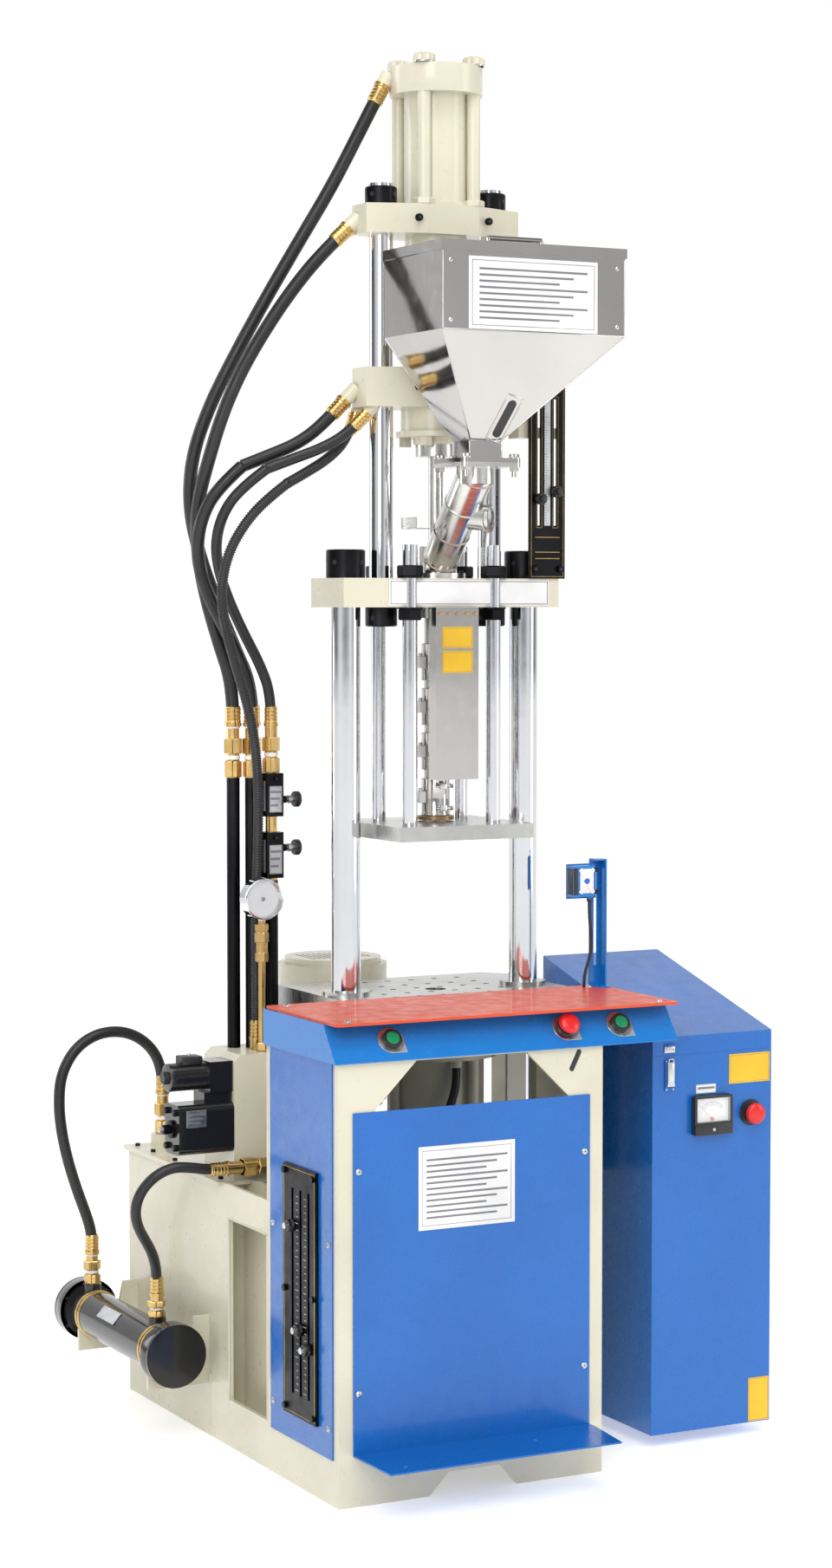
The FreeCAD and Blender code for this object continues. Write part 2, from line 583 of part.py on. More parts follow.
# ---- clamp cylinder ----
def clamp_cylinder():
    x, y = AXIS
    top = TABLE_TOP - TABLE_T
    z_flange = top - CLAMP_FLANGE_T
    cap = 40
    shell = fuse(rod(x, y, z_flange, top, CLAMP_CAP_R), rod(x, y, CLAMP_BOTTOM + cap, z_flange, CLAMP_R))
    barrel = shell.cut(rod(x, y, CLAMP_BOTTOM + cap - 1, top - 20, CLAMP_BORE))
    (px, py, pz), (qx, qy, qz) = HOSES["clamp_hose"][1][0], HOSES["clamp_hose"][1][-1]
    port = rod(px, py, pz, z_flange, 11)
    places = tie_places(105, 15)
    end = fuse(ring(x, y, CLAMP_BOTTOM, CLAMP_BOTTOM + cap, CLAMP_CAP_R, CLAMP_ROD_R + FIT), rod(qx, qy, CLAMP_BOTTOM + cap, qz, 11))
    end = cut(end, *[rod(px, py, CLAMP_BOTTOM - 1, CLAMP_BOTTOM + cap + 1, 10 + FIT) for px, py in places])
    ties = [fuse(rod(px, py, CLAMP_BOTTOM - 16, z_flange, 10), hexagon(px, py, CLAMP_BOTTOM - 16, CLAMP_BOTTOM, 30))
            for px, py in places]
    return [fuse(barrel, port), end] + ties


def crosshead():
    """Lower crosshead with the clamp piston and its rod seated on it."""
    x, y = AXIS
    z = (CROSSHEAD_Z, CROSSHEAD_Z + CROSSHEAD_H)
    block = box((150, 656), (y - 60, y + 60), z)
    block = cut(block, *[rod(c, y, z[0] - 1, z[1] + 1, COLUMN_R + FIT) for c in pair_x(COLUMN_SPAN)])
    piston = fuse(rod(x, y, z[1], 650, CLAMP_ROD_R), rod(x, y, 650, 705, CLAMP_BORE - FIT))
    return [soften(block, 6, (0, 0, 1)), piston]


# ---- head ----
def guide_columns():
    main = [rod(x, AXIS[1], CROSSHEAD_Z - 30, HEAD_Z + HEAD_T + 44, COLUMN_R) for x in pair_x(COLUMN_SPAN)]
    upper = [rod(x, AXIS[1], HEAD_Z - 36, TOP_Z + TOP_T + 40, INJ_COLUMN_R) for x in pair_x(INJ_SPAN)]
    return main + upper


def hanging_rods():
    return [rod(x, y, MOULD_Z + 2, HEAD_Z + HEAD_T + 62, ROD_R) for x, y in rod_places()]


def nut(x, y, z0, z1, outer, bore, flats=0):
    body = hexagon(x, y, z0, z1, flats) if flats else rod(x, y, z0, z1, outer)
    return body.cut(rod(x, y, z0 - 1, z1 + 1, bore + FIT))


def column_nuts():
    """Every black nut of the head: columns, injection columns and hanging rods."""
    top, y = HEAD_Z + HEAD_T, AXIS[1]
    solids = []
    for x in pair_x(COLUMN_SPAN):
        cap = rod(x, y, top, top + COLUMN_NUT_H, COLUMN_NUT_R).cut(rod(x, y, top - 1, top + 45, COLUMN_R + FIT))
        solids += [cap, nut(x, y, CROSSHEAD_Z - 32, CROSSHEAD_Z, COLUMN_NUT_R, COLUMN_R)]
    for x in pair_x(INJ_SPAN):
        solids += [nut(x, y, HEAD_Z - 36, HEAD_Z, 30, INJ_COLUMN_R),
                   nut(x, y, TOP_Z + TOP_T, TOP_Z + TOP_T + 34, 30, INJ_COLUMN_R)]
    for x, ry in rod_places():
        solids += [nut(x, ry, top, top + 24, 0, ROD_R, 42), nut(x, ry, HEAD_Z - 24, HEAD_Z, 0, ROD_R, 42)]
    return solids


def head_platen():
    x, y = AXIS
    z = (HEAD_Z, HEAD_Z + HEAD_T)
    block = box((x - HEAD_W / 2, x + HEAD_W / 2), (y - HEAD_D / 2, y + HEAD_D / 2), z)
    holes = [rod(c, y, z[0] - 1, z[1] + 1, COLUMN_R + FIT) for c in pair_x(COLUMN_SPAN)]
    holes += [rod(c, y, z[0] - 1, z[1] + 1, INJ_COLUMN_R + FIT) for c in pair_x(INJ_SPAN)]
    holes += [rod(rx, ry, z[0] - 1, z[1] + 1, ROD_R + FIT) for rx, ry in rod_places()]
    holes.append(rod(x, y, z[0] - 1, z[1] + 1, BARREL_R + 8 + FIT))
    return [cut(soften(block, 4, (0, 0, 1)), *holes)]


def mould_plate():
    z = (MOULD_Z, MOULD_Z + MOULD_T)
    holes = [rod(rx, ry, z[0] + 2, z[1] + 1, ROD_R + FIT) for rx, ry in rod_places()]
    holes.append(rod(AXIS[0], AXIS[1], z[0] - 1, z[1] + 1, 34))
    holes += [rod(AXIS[0] + sx * 120, AXIS[1] + sy * 110, z[0] - 1, z[1] + 1, 6) for sx in (-1, 1) for sy in (-1, 1)]
    return [cut(soften(box(MOULD_X, MOULD_Y, z), 3, (0, 0, 1)), *holes)]


def barrel():
    """Barrel with its shoulder and nozzle, and the heater bands clamped on it."""
    x, y = AXIS
    tip = Part.makeCone(10, BARREL_R, 40, Vector(x, y, 1128))
    body = fuse(tip, rod(x, y, 1168, HEAD_Z, BARREL_R), rod(x, y, HEAD_Z - 20, HEAD_Z, 38),
                rod(x, y, HEAD_Z, HEAD_Z + HEAD_T, BARREL_R + 8))
    body = cut(body, rod(x, y, BORE_END, HEAD_Z + HEAD_T + 1, SCREW_R + GAP), rod(x, y, 1100, BORE_END + 1, 3))
    bands = [ring(x, y, z0, z1, BARREL_R + 5, BARREL_R + FIT) for z0, z1 in
             ((1176, 1246), (1262, 1332), (1346, 1416), (1430, 1500))]
    collar = ring(x, y, 1168, 1175, BARREL_R + 12, BARREL_R + FIT)
    return [body, collar] + bands


def barrel_shield():
    """Bent sheet in front of the barrel, hung from the head platen."""
    x, y, z, t = (358, 448), (318, 345), (1247, HEAD_Z), 1.5
    front = box(x, (y[0], y[0] + t), z)
    sides = [box((a, a + t), y, z) for a in (x[0], x[1] - t)]
    tab = box(x, (y[0], 348), (z[1] - t, z[1]))
    return [fuse(front, *sides, tab)]


def top_plate():
    z = (TOP_Z, TOP_Z + TOP_T)
    x, y = AXIS
    holes = [rod(c, y, z[0] - 1, z[1] + 1, INJ_COLUMN_R + FIT) for c in pair_x(INJ_SPAN)]
    holes.append(rod(x, y, z[0] - 40, z[1] + 1, INJ_ROD_R + FIT))
    holes += [rod(px, py, z[1] - 20, z[1] + 1, TIE_R + FIT) for px, py in tie_places(TIE_PITCH_R, 45)]
    port = hose_port("top_plate_hose", 30, 15)
    return [cut(fuse(octagon(*z), rod(x, y, z[0] - 30, z[0], 58), port), *holes)]


def injection_cylinder():
    x, y = AXIS
    z0 = TOP_Z + TOP_T
    z1, z2 = z0 + CYL_H, z0 + CYL_H + CAP_T
    tube = ring(x, y, z0, z1, CYL_R, CYL_BORE)
    cap = rod(x, y, z1, z2, CAP_R)
    places = tie_places(TIE_PITCH_R, 45)
    port = hose_port("cylinder_hose", 25, 15)
    cap = cut(fuse(cap, port), *[rod(px, py, z1 - 1, z2 + 1, TIE_R + FIT) for px, py in places])
    ties = [fuse(rod(px, py, z0 - 20, z2 + 18, TIE_R), hexagon(px, py, z2, z2 + 16, 36)) for px, py in places]
    return [tube, cap, rod(x + 12, y + 30, z2, z2 + 14, 8)] + ties


def carriage():
    """Moving carriage, with the injection piston rod screwed into it."""
    z = (CARRIAGE_Z, CARRIAGE_Z + CARRIAGE_T)
    x, y = AXIS
    holes = [rod(c, y, z[0] - 40, z[1] + 1, INJ_COLUMN_R + FIT) for c in pair_x(INJ_SPAN)]
    holes.append(rod(x, y, z[1] - 30, z[1] + 1, INJ_ROD_R + FIT))
    holes.append(rod(x, y, z[0] - 1, z[0] + 30, 20))
    ports = [hose_port("motor_hose", 35, 14), hose_port("motor_return_hose", 24, 12),
             hose_port("wiring_conduit", 22, 12)]
    arm = box((x + OCT_HALF[0], 626), (336, 344), (1886, 1906))
    hanger = fuse(box((x + OCT_HALF[0] - 20, x + OCT_HALF[0] + 14), (336, 376), (1886, CARRIAGE_Z)),
                  box((x + OCT_HALF[0] - 40, x + OCT_HALF[0] - 16), (360, 380), (CARRIAGE_Z - 8, CARRIAGE_Z)))
    plate = fuse(octagon(*z), *ports, hanger, arm)
    crown = TOP_Z + TOP_T + INJECTION_DOWN + 1
    piston = fuse(rod(x, y, z[1] - 30, crown, INJ_ROD_R), rod(x, y, crown, crown + 30, CYL_BORE - FIT))
    return [cut(plate, *holes), piston]


def hydraulic_motor():
    """Hydraulic motor that turns the screw, under the carriage."""
    x, y = AXIS
    z = CARRIAGE_Z
    rim = min(75.0, INJ_SPAN / 2 - INJ_COLUMN_R - 2)
    body = fuse(rod(x, y, z - 44, z, rim - 9), rod(x, y, z - 53, z - 44, rim), rod(x, y, z - 66, z - 53, 42))
    pitch = rim - 15
    bolts = [hexagon(x + pitch * math.cos(a), y + pitch * math.sin(a), z - 70, z - 53, 22)
             for a in [math.radians(45 + 90 * k) for k in range(4)]]
    return [fuse(body, *bolts).cut(rod(x, y, z - 67, z + 1, SCREW_R + 2 + FIT))]


def screw():
    """Plasticising screw with its coupling, a flighted shaft from the motor to the barrel."""
    x, y = AXIS
    tip = BORE_END + INJECTION_DOWN + 2
    core = rod(x, y, tip, 1600, SCREW_R - 4)
    flights = [rod(x, y, tip + 8 + 28 * k, tip + 14 + 28 * k, SCREW_R) for k in range(10)]
    shaft = fuse(rod(x, y, 1600, SCREW_TOP, SCREW_R), rod(x, y, SCREW_TOP, CARRIAGE_Z - 66 - GAP, 38),
                 rod(x, y, SCREW_TOP, CARRIAGE_Z + 20, SCREW_R + 2))
    return [fuse(core, shaft, *flights)]


# ---- hopper ----
def corners(x, y, z, inset):
    """Corners of a level rectangle, pulled in by inset, from the front left round to the back left."""
    a, b, c, d = x[0] + inset, x[1] - inset, y[0] + inset, y[1] - inset
    return [Vector(a, c, z), Vector(b, c, z), Vector(b, d, z), Vector(a, d, z)]


def sheet(foot, top, side):
    """One wall sheet with mitred ends: side 0 is the front, 1 the right, 2 the back, 3 the left."""
    outlines = []
    for x, y, z in (foot, top):
        outer, inner, after = corners(x, y, z, 0), corners(x, y, z, STEEL), (side + 1) % 4
        outlines.append(Part.makePolygon([outer[side], outer[after], inner[after], inner[side], outer[side]]))
    return Part.makeLoft(outlines, True, True)


def hopper_sheets():
    """Four sheets each for the neck, the pyramid and the box; the back of the box comes last."""
    x, y, n = OUTLET[0], OUTLET[1], NECK_HALF
    neck = ((x - n, x + n), (y - n, y + n))
    levels = [(*neck, FLANGE_Z + FLANGE_T), (*neck, NECK_Z), (HOPPER_X, HOPPER_Y, HOPPER_Z[0]), (HOPPER_X, HOPPER_Y, HOPPER_Z[1])]
    return [sheet(foot, top, side) for foot, top in zip(levels, levels[1:]) for side in (0, 1, 3, 2)]


def flange(z0, z1, bore):
    """Square outlet flange with four bolt holes."""
    x, y, h = OUTLET[0], OUTLET[1], FLANGE_HALF
    plate = soften(box((x - h, x + h), (y - h, y + h), (z0, z1)), 10, (0, 0, 1))
    return cut(plate, bore, *[rod(x + sx * (h - 11), y + sy * (h - 11), z0 - 1, z1 + 1, 5) for sx in (-1, 1) for sy in (-1, 1)])


def hopper():
    x, y, h = OUTLET[0], OUTLET[1], FLANGE_HALF - 11
    n = NECK_HALF - STEEL
    bore = box((x - n, x + n), (y - n, y + n), (FLANGE_Z - 1, FLANGE_Z + FLANGE_T + 1))
    *sheets, back = hopper_sheets()
    ears = []
    for a in LID_HINGES:
        ears += [bar((a, LID_AXIS[0], LID_AXIS[1]), (a + 20, LID_AXIS[0], LID_AXIS[1]), 5),
                 box((a, a + 20), (HOPPER_Y[1], LID_AXIS[0]), (LID_AXIS[1] - 5, LID_AXIS[1])),
                 box((a, a + 20), (HOPPER_Y[1], HOPPER_Y[1] + 2), (LID_AXIS[1] - 25, LID_AXIS[1] - 2)),
                 bar((a, LID_AXIS[0], LID_AXIS[1]), (a + 40 + GAP, LID_AXIS[0], LID_AXIS[1]), 2.5)]
    bolts = [fuse(rod(x + sx * h, y + sy * h, FLANGE_Z - 26, FLANGE_Z + FLANGE_T, 5 - FIT),
                  hexagon(x + sx * h, y + sy * h, FLANGE_Z + FLANGE_T, FLANGE_Z + FLANGE_T + 7, 16))
             for sx in (-1, 1) for sy in (-1, 1)]
    return sheets + [fuse(back, *ears), flange(FLANGE_Z, FLANGE_Z + FLANGE_T, bore)] + bolts


def hopper_lid():
    """Lid with a turned-down rim on three sides, hinged along the back."""
    g, t = LID_GAP, STEEL
    x, y, top = (HOPPER_X[0] - g - t, HOPPER_X[1] + g + t), (HOPPER_Y[0] - g - t, HOPPER_Y[1]), HOPPER_Z[1] + GAP
    outer = box(x, y, (top - LID_RIM, top + t))
    inner = box((x[0] + t, x[1] - t), (y[0] + t, y[1] + 1), (top - LID_RIM - 1, top))
    z = top + t
    knuckles, bores = [], []
    for a in LID_HINGES:
        start, end = (a + 20 + GAP, LID_AXIS[0], LID_AXIS[1]), (a + 40, LID_AXIS[0], LID_AXIS[1])
        knuckles += [bar(start, end, 5), box((start[0], end[0]), (y[1] - 20, LID_AXIS[0]), (z, z + 2))]
        bores.append(bar((start[0] - 1, *start[1:]), (end[0] + 1, *end[1:]), 2.5 + FIT))
    grip = fuse(*[rod(a, 205, z - 1, z + 22, 5) for a in (404, 516)],
                bar((404, 205, z + 22), (516, 205, z + 22), 5))
    return [cut(fuse(outer.cut(inner), grip, *knuckles), *bores)]


def pipe_line():
    """Top and foot of the sloping pipe's centre line."""
    return (OUTLET[0], OUTLET[1], FLANGE_Z - FLANGE_T - 6), (AXIS[0], AXIS[1] - 6, HEAD_Z + HEAD_T + 22)


def gate_place():
    """Where the pipe's centre line passes the gate."""
    a, b = pipe_line()
    t = (a[2] - GATE_Z) / (a[2] - b[2])
    return a[0] + t * (b[0] - a[0]), a[1] + t * (b[1] - a[1])


def feed_pipe():
    """Sloping feed pipe with its flange, throat, drain stub and shut-off pocket."""
    (ox, oy), (ax, ay) = OUTLET, AXIS
    top, foot = FLANGE_Z - FLANGE_T, HEAD_Z + HEAD_T
    a, b = pipe_line()
    r = PIPE_R - PIPE_WALL
    stub = (430, 250, 1732), (ox + 6, oy + 88, 1738)
    rim = (434, 246, 1732)
    reach = box((ox - 150, ox + 150), (oy - 100, ay + 100), (foot, top))
    outer = fuse(bar(a, b, PIPE_R), rod(ox, oy, top - 30, top, PIPE_R), bar(*stub, 24), bar(rim, stub[0], 26),
                 rod(ax, ay, foot, foot + 60, 40), rod(ax, ay, foot, foot + 10, 56)).common(reach)
    inner = [bar(a, b, r), rod(ox, oy, top - 30, top + 1, r), bar((436, 244, 1732), stub[1], 21),
             rod(ax, ay, foot - 1, foot + 50, SCREW_R + 10), rod(ax, ay, foot - 1, top, SCREW_R + 1)]
    plate = flange(top, FLANGE_Z, rod(ox, oy, top - 1, FLANGE_Z + 1, r))
    gx, gy = gate_place()
    slot = box((gx - 90, gx + PIPE_R - PIPE_WALL - 2), (gy - r, gy + r), (GATE_Z - 0.3, GATE_Z + 2.3))
    body = fuse(outer, plate)
    for tool in inner + [slot]:
        body = body.cut(tool)
    return [max(body.Solids, key=lambda s: s.Volume)]


def shut_off_slide():
    """Thin gate that slides out to the left from the feed pipe."""
    (x, y), z = gate_place(), (GATE_Z, GATE_Z + 2)
    half = PIPE_R - PIPE_WALL - 1
    return [fuse(box((x - 92, x - 4), (y - half, y + half), z), rod(x - 4, y, z[0], z[1], half),
                 box((x - 92, x - 90), (y - half, y + half), (z[0], z[0] + 22)))]


# ---- scale ----
def scale_plate():
    y, z = (SCALE_Y, SCALE_Y + 5), SCALE_Z
    plate = box(SCALE_X, y, z)
    slots = [box((x - 3.5, x + 3.5), (y[0] - 1, y[1] + 1), (1722, 1960)) for x in SCALE_SLOTS]
    foot = box((SCALE_X[0], 628), (SCALE_Y, 364), (z[0], z[0] + 5))
    bolts = [screw_head((x, SCALE_Y, 1640), (0, -1, 0), 6, 6) for x in (SCALE_X[0] + 11, SCALE_X[1] - 11)]
    return [cut(fuse(plate, foot), *slots)] + bolts


def scale_knob(index):
    x, z = SCALE_SLOTS[index], SCALE_KNOB_Z[index]
    shank = bar((x, SCALE_Y + 4, z), (x, SCALE_Y - 1, z), 3.2)
    head = bar((x, SCALE_Y - GAP, z), (x, SCALE_Y - 14, z), 11)
    return [fuse(shank, head, bar((x, SCALE_Y - 14, z), (x, SCALE_Y - 20, z), 6))]


# ---- hydraulics ----
def motor_pump():
    """Electric motor on its bell housing, with the pump hanging in the tank."""
    x, y = MOTOR
    bell = fuse(rod(x, y, TANK_TOP, TANK_TOP + 14, 95), rod(x, y, TANK_TOP + 14, 580, 78), rod(x, y, 330, TANK_TOP, 56))
    stator = rod(x, y, 580, 800, MOTOR_R - 8)
    cowl = fuse(rod(x, y, 800, MOTOR_TOP - 12, MOTOR_R), rod(x, y, MOTOR_TOP - 12, MOTOR_TOP, MOTOR_R - 12))
    box_ = box((x - 150, x - 90), (y - 45, y + 45), (640, 740))
    return [bell, fuse(stator, cowl, box_)]


def manifold_block():
    x0, x1, y0, y1, z = MANIFOLD
    block = prism_y([(x0, TANK_TOP), (x1, TANK_TOP), (x1, z), (x0 + 14, z), (x0, z - 14)], y0, y1)
    return [block]


def valve_stack():
    """Cast pilot valve on the block's left face, with the solenoid valve above it."""
    x = (-85, MANIFOLD[0])
    cast = soften(box(x, (500, 568), (548, 642)), 12, (1, 0, 0))
    bolts = [screw_head((x[0], y, z), (-1, 0, 0), 6, 4) for y in (514, 554) for z in (562, 628)]
    foot = box((-30, x[1]), (510, 560), (642, 662))
    body = box((-20, x[1]), (506, 562), (662, 720))
    coil = bar((-95, 534, 692), (-20, 534, 692), 26)
    return [fuse(cast, *bolts), fuse(foot, body, coil, box((-70, -30), (518, 550), (716, 730)))]


def riser_pipes():
    """Four rigid pipes up from the block, one through the two flow-control valves."""
    z = MANIFOLD[4]
    pipes = [rod(x, y, z, RISER_TOP, RISER_R) for x, y in RISERS]
    vx, vy = VALVE_RISER
    pipes.append(rod(vx, vy, z, 1050, RISER_R))
    blocks = [soften(box((vx - 18, vx + 18), (vy - 20, vy + 20), (z0, z1)), 4, (0, 0, 1)) for z0, z1 in ((1055, 1142), (1172, 1254))]
    stems = [bar((vx + 18, vy, k), (vx + 30, vy, k), 7) for k in (1111, 1203)]
    return pipes + [fuse(b, s).cut(bar((vx + 10, vy, k), (vx + 31, vy, k), 4.3)) for b, s, k in zip(blocks, stems, (1111, 1203))]


def flow_knob(z):
    vx, vy = VALVE_RISER
    stem = bar((vx + 12, vy, z), (vx + 34, vy, z), 4)
    return [fuse(stem, bar((vx + 34, vy, z), (vx + 46, vy, z), 6), bar((vx + 46, vy, z), (vx + 58, vy, z), 15))]


def swivel(x, y, z0, z1):
    """Brass swivel fitting: two hexagons on a round body."""
    third = (z1 - z0) / 3
    return fuse(rod(x, y, z0, z1, 12), hexagon(x, y, z0, z0 + third, 26), hexagon(x, y, z0 + third * 1.4, z0 + third * 2.2, 28))


def brass_fittings():
    vx, vy = VALVE_RISER
    fits = [swivel(x, y, RISER_TOP, HOSE_Z) for x, y in RISERS] + [swivel(vx, vy, 1254, HOSE_Z)]
    fits += [rod(vx, vy, 1142, 1172, 11), rod(vx, vy, 1050, 1055, 11)]
    gx, gy, gz = GAUGE
    fits.append(fuse(rod(gx, gy, MANIFOLD[4], gz - GAUGE_R - 2, 7), rod(gx, gy, 900, 955, 11), hexagon(gx, gy, 955, 970, 22)))
    fits.append(swivel(COOLER_X, COOLER_PORTS[0], COOLER_Z + COOLER_PORT_H, 270))
    fits.append(swivel(COOLER_X, COOLER_PORTS[1], COOLER_Z + COOLER_PORT_H, 290))
    fits.append(swivel(60, 925, TANK_TOP + 24, 600))
    fits.append(fuse(bar((95, MANIFOLD[2], 522), (95, 482, 522), 12), bar((95, 482, 522), (4, 482, 522), 12),
                     bar((60, 482, 522), (34, 482, 522), 16)))
    fits.append(rod(100, 560, MANIFOLD[4], 750, 13))
    return fits


def pressure_gauge():
    x, y, z = GAUGE
    front, back = y - GAUGE_D / 2, y + GAUGE_D / 2
    case = bar((x, front, z), (x, back, z), GAUGE_R).cut(bar((x, front - 1, z), (x, front + 9, z), GAUGE_R - 5))
    neck = rod(x, y, z - GAUGE_R - 2, z - GAUGE_R + 4, 7)
    return [fuse(case, neck)]


def gauge_needle():
    x, y, z = GAUGE
    f = y - GAUGE_D / 2 + 9 - GAP
    hub = bar((x, f, z), (x, f - 3, z), 3.5)
    return [fuse(hub, prism_y([(x + 6, z + 8), (x - 20, z - 23), (x - 22, z - 21), (x + 4, z + 10)], f - 2, f - 1))]


def cooler():
    x, z = COOLER_X, COOLER_Z
    y0, y1 = COOLER_Y
    tube = bar((x, y0 + 20, z), (x, y1 - 20, z), COOLER_R)
    caps = [bar((x, y0, z), (x, y0 + 34, z), COOLER_CAP_R), bar((x, y1 - 34, z), (x, y1, z), COOLER_CAP_R)]
    rings = [bar((x, y0 + 34, z), (x, y0 + 46, z), COOLER_R + 8), bar((x, y1 - 46, z), (x, y1 - 34, z), COOLER_R + 8)]
    ports = [rod(x, y, z + COOLER_R - 6, z + COOLER_PORT_H, 18) for y in COOLER_PORTS]
    return [fuse(tube, *caps, *rings, *ports)]


# ---- the whole machine ----
NODES = {
    "base_frame": base_frame, "work_table": work_table, "table_cover": table_cover,
    "front_trim": front_trim, "front_panel": front_panel, "side_panel": side_panel,
    "limit_plate": limit_plate, "cabinet_body": cabinet_body, "cabinet_lid": cabinet_lid,
    "latch_lever": latch_lever, "meter_needle": meter_needle,
    "panel_devices": lambda: panel_meter() + button_housings(), "sensor": sensor, "clamp_cylinder": clamp_cylinder,
    "motor_pump": motor_pump, "manifold_block": manifold_block, "valve_stack": valve_stack,
    "riser_pipes": riser_pipes, "brass_fittings": brass_fittings, "pressure_gauge": pressure_gauge,
    "gauge_needle": gauge_needle, "cooler": cooler, "guide_columns": guide_columns,
    "hanging_rods": hanging_rods, "column_nuts": column_nuts, "head_platen": head_platen,
    "mould_plate": mould_plate, "barrel": barrel, "barrel_shield": barrel_shield,
    "top_plate": top_plate, "injection_cylinder": injection_cylinder, "crosshead": crosshead,
    "hopper": hopper, "hopper_lid": hopper_lid, "feed_pipe": feed_pipe,
    "shut_off_slide": shut_off_slide, "scale_plate": scale_plate, "carriage": carriage,
    "hydraulic_motor": hydraulic_motor, "screw": screw,
    "start_button_left": lambda: start_button(BUTTON_X[0]),
    "start_button_right": lambda: start_button(BUTTON_X[2]),
    "stop_button_front": lambda: mushroom(lambda out: slope_point(BUTTON_X[1], out)),
    "stop_button_cabinet": lambda: mushroom(front_point),
    "limit_knob_1": lambda: limit_knob(0), "limit_knob_2": lambda: limit_knob(1),
    "limit_knob_3": lambda: limit_knob(2),
    "scale_knob_left": lambda: scale_knob(0), "scale_knob_right": lambda: scale_knob(1),
    "flow_knob_upper": lambda: flow_knob(1203), "flow_knob_lower": lambda: flow_knob(1111),
}


def origin():
    """Middle of the footprint: cooler to cabinet, and front panel lip to cooler."""
    x = (COOLER_X - COOLER_CAP_R + CAB_X[1]) / 2
    y = (COOLER_Y[1] - LIP_D) / 2
    return Vector(-x, -y, 0)


def export(name, solids):
    shape = Part.makeCompound(solids)
    shape.translate(origin())
    shape.exportStep(f"parts/{name}.step")


def main():
    os.makedirs("parts", exist_ok=True)
    for name, make in NODES.items():
        export(name, make())
    for name, (diameter, _) in HOSES.items():
        tube, tightest, length = hose(route(name), diameter)
        whole = math.pi * diameter ** 2 / 4 * length
        print(f"{name}: length {length:.0f}, tightest radius {tightest:.0f} = {tightest / diameter:.1f} diameters, "
              f"volume {tube.Volume / whole:.3f} of section times length")
        export(name, [tube])


main()
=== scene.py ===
import logging
import math
from dataclasses import dataclass, field
from enum import Enum
from typing import Callable, Iterable, Sequence

import bpy
from mathutils import Matrix, Vector


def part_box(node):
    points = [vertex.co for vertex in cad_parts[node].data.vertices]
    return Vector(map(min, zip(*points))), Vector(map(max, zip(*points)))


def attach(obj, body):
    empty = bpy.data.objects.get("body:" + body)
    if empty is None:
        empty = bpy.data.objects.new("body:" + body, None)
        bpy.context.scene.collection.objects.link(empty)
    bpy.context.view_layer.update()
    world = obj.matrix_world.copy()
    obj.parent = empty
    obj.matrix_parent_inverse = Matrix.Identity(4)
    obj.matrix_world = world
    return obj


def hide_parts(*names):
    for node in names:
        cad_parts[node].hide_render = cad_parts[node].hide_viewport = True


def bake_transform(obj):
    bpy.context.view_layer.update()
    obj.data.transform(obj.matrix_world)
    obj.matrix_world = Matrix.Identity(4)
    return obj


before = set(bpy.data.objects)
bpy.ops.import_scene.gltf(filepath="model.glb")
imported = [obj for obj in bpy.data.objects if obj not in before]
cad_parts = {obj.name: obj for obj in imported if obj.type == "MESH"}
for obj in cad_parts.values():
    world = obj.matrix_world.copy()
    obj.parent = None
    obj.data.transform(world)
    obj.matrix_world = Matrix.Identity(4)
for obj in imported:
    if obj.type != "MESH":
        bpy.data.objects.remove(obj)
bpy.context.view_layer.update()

log = logging.getLogger("machine")
Point = tuple[float, float, float]

# Sizes are in millimetres from the base's front left bottom corner, as in the CAD part.
PANEL_LOW = Vector((28.0, -140.0, 90.0)) / 1000
ORIGIN = Vector(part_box("front_panel")[0]) - PANEL_LOW
AXIS = (403.0, 405.0)
TANK_TOP = 494
HEAD_UNDER, HEAD_TOP = 1568, 1622
QUARTER, EIGHTH = 1.5708, 0.7854
UP, DOWN, FRONT, LEFT, RIGHT = (0, 0, 1), (0, 0, -1), (0, -1, 0), (-1, 0, 0), (1, 0, 0)


class Kind(Enum):
    """What a finish is made of, which sets its node tree."""

    PAINT = "paint"
    METAL = "metal"
    CHROME = "chrome"
    BRUSHED = "brushed"
    RUBBER = "rubber"
    PLASTIC = "plastic"
    GLASS = "glass"


@dataclass(frozen=True)
class Finish:
    """A surface finish and the name of the material slot that it belongs to."""

    name: str
    kind: Kind
    colour: tuple[float, float, float]
    slot: str
    roughness: float = 0.4
    grain: float = 400.0
    bump: float = 0.05
    stretch: tuple[float, float, float] = (1.0, 1.0, 1.0)


CREAM = Finish("cream enamel", Kind.PAINT, (0.62, 0.585, 0.455), "cream_paint", 0.33)
BLUE = Finish("blue enamel", Kind.PAINT, (0.0, 0.112, 0.43), "blue_paint", 0.26)
TRIM_BLUE = Finish("trim enamel", Kind.PAINT, (0.003, 0.165, 0.52), "blue_paint", 0.22)
ORANGE = Finish("orange enamel", Kind.PAINT, (0.62, 0.060, 0.012), "orange_paint", 0.42)
CHROME = Finish("hard chrome", Kind.CHROME, (0.72, 0.73, 0.75), "chrome", 0.07, 90.0, 0.004)
BRIGHT = Finish("polished sheet", Kind.CHROME, (0.56, 0.545, 0.52), "stainless", 0.085, 9.0, 0.35)
STAINLESS = Finish("satin stainless", Kind.BRUSHED, (0.66, 0.655, 0.63), "stainless", 0.2, 300.0, 0.05,
                   (1, 1, 14))
GROUND = Finish("ground steel", Kind.BRUSHED, (0.50, 0.50, 0.48), "machined_steel", 0.27, 260.0, 0.04,
                (1, 12, 1))
BLACK_STEEL = Finish("blackened steel", Kind.METAL, (0.018, 0.018, 0.02), "black_steel", 0.34)
GLOSS_BLACK = Finish("gloss black", Kind.PAINT, (0.012, 0.012, 0.013), "gloss_black", 0.16)
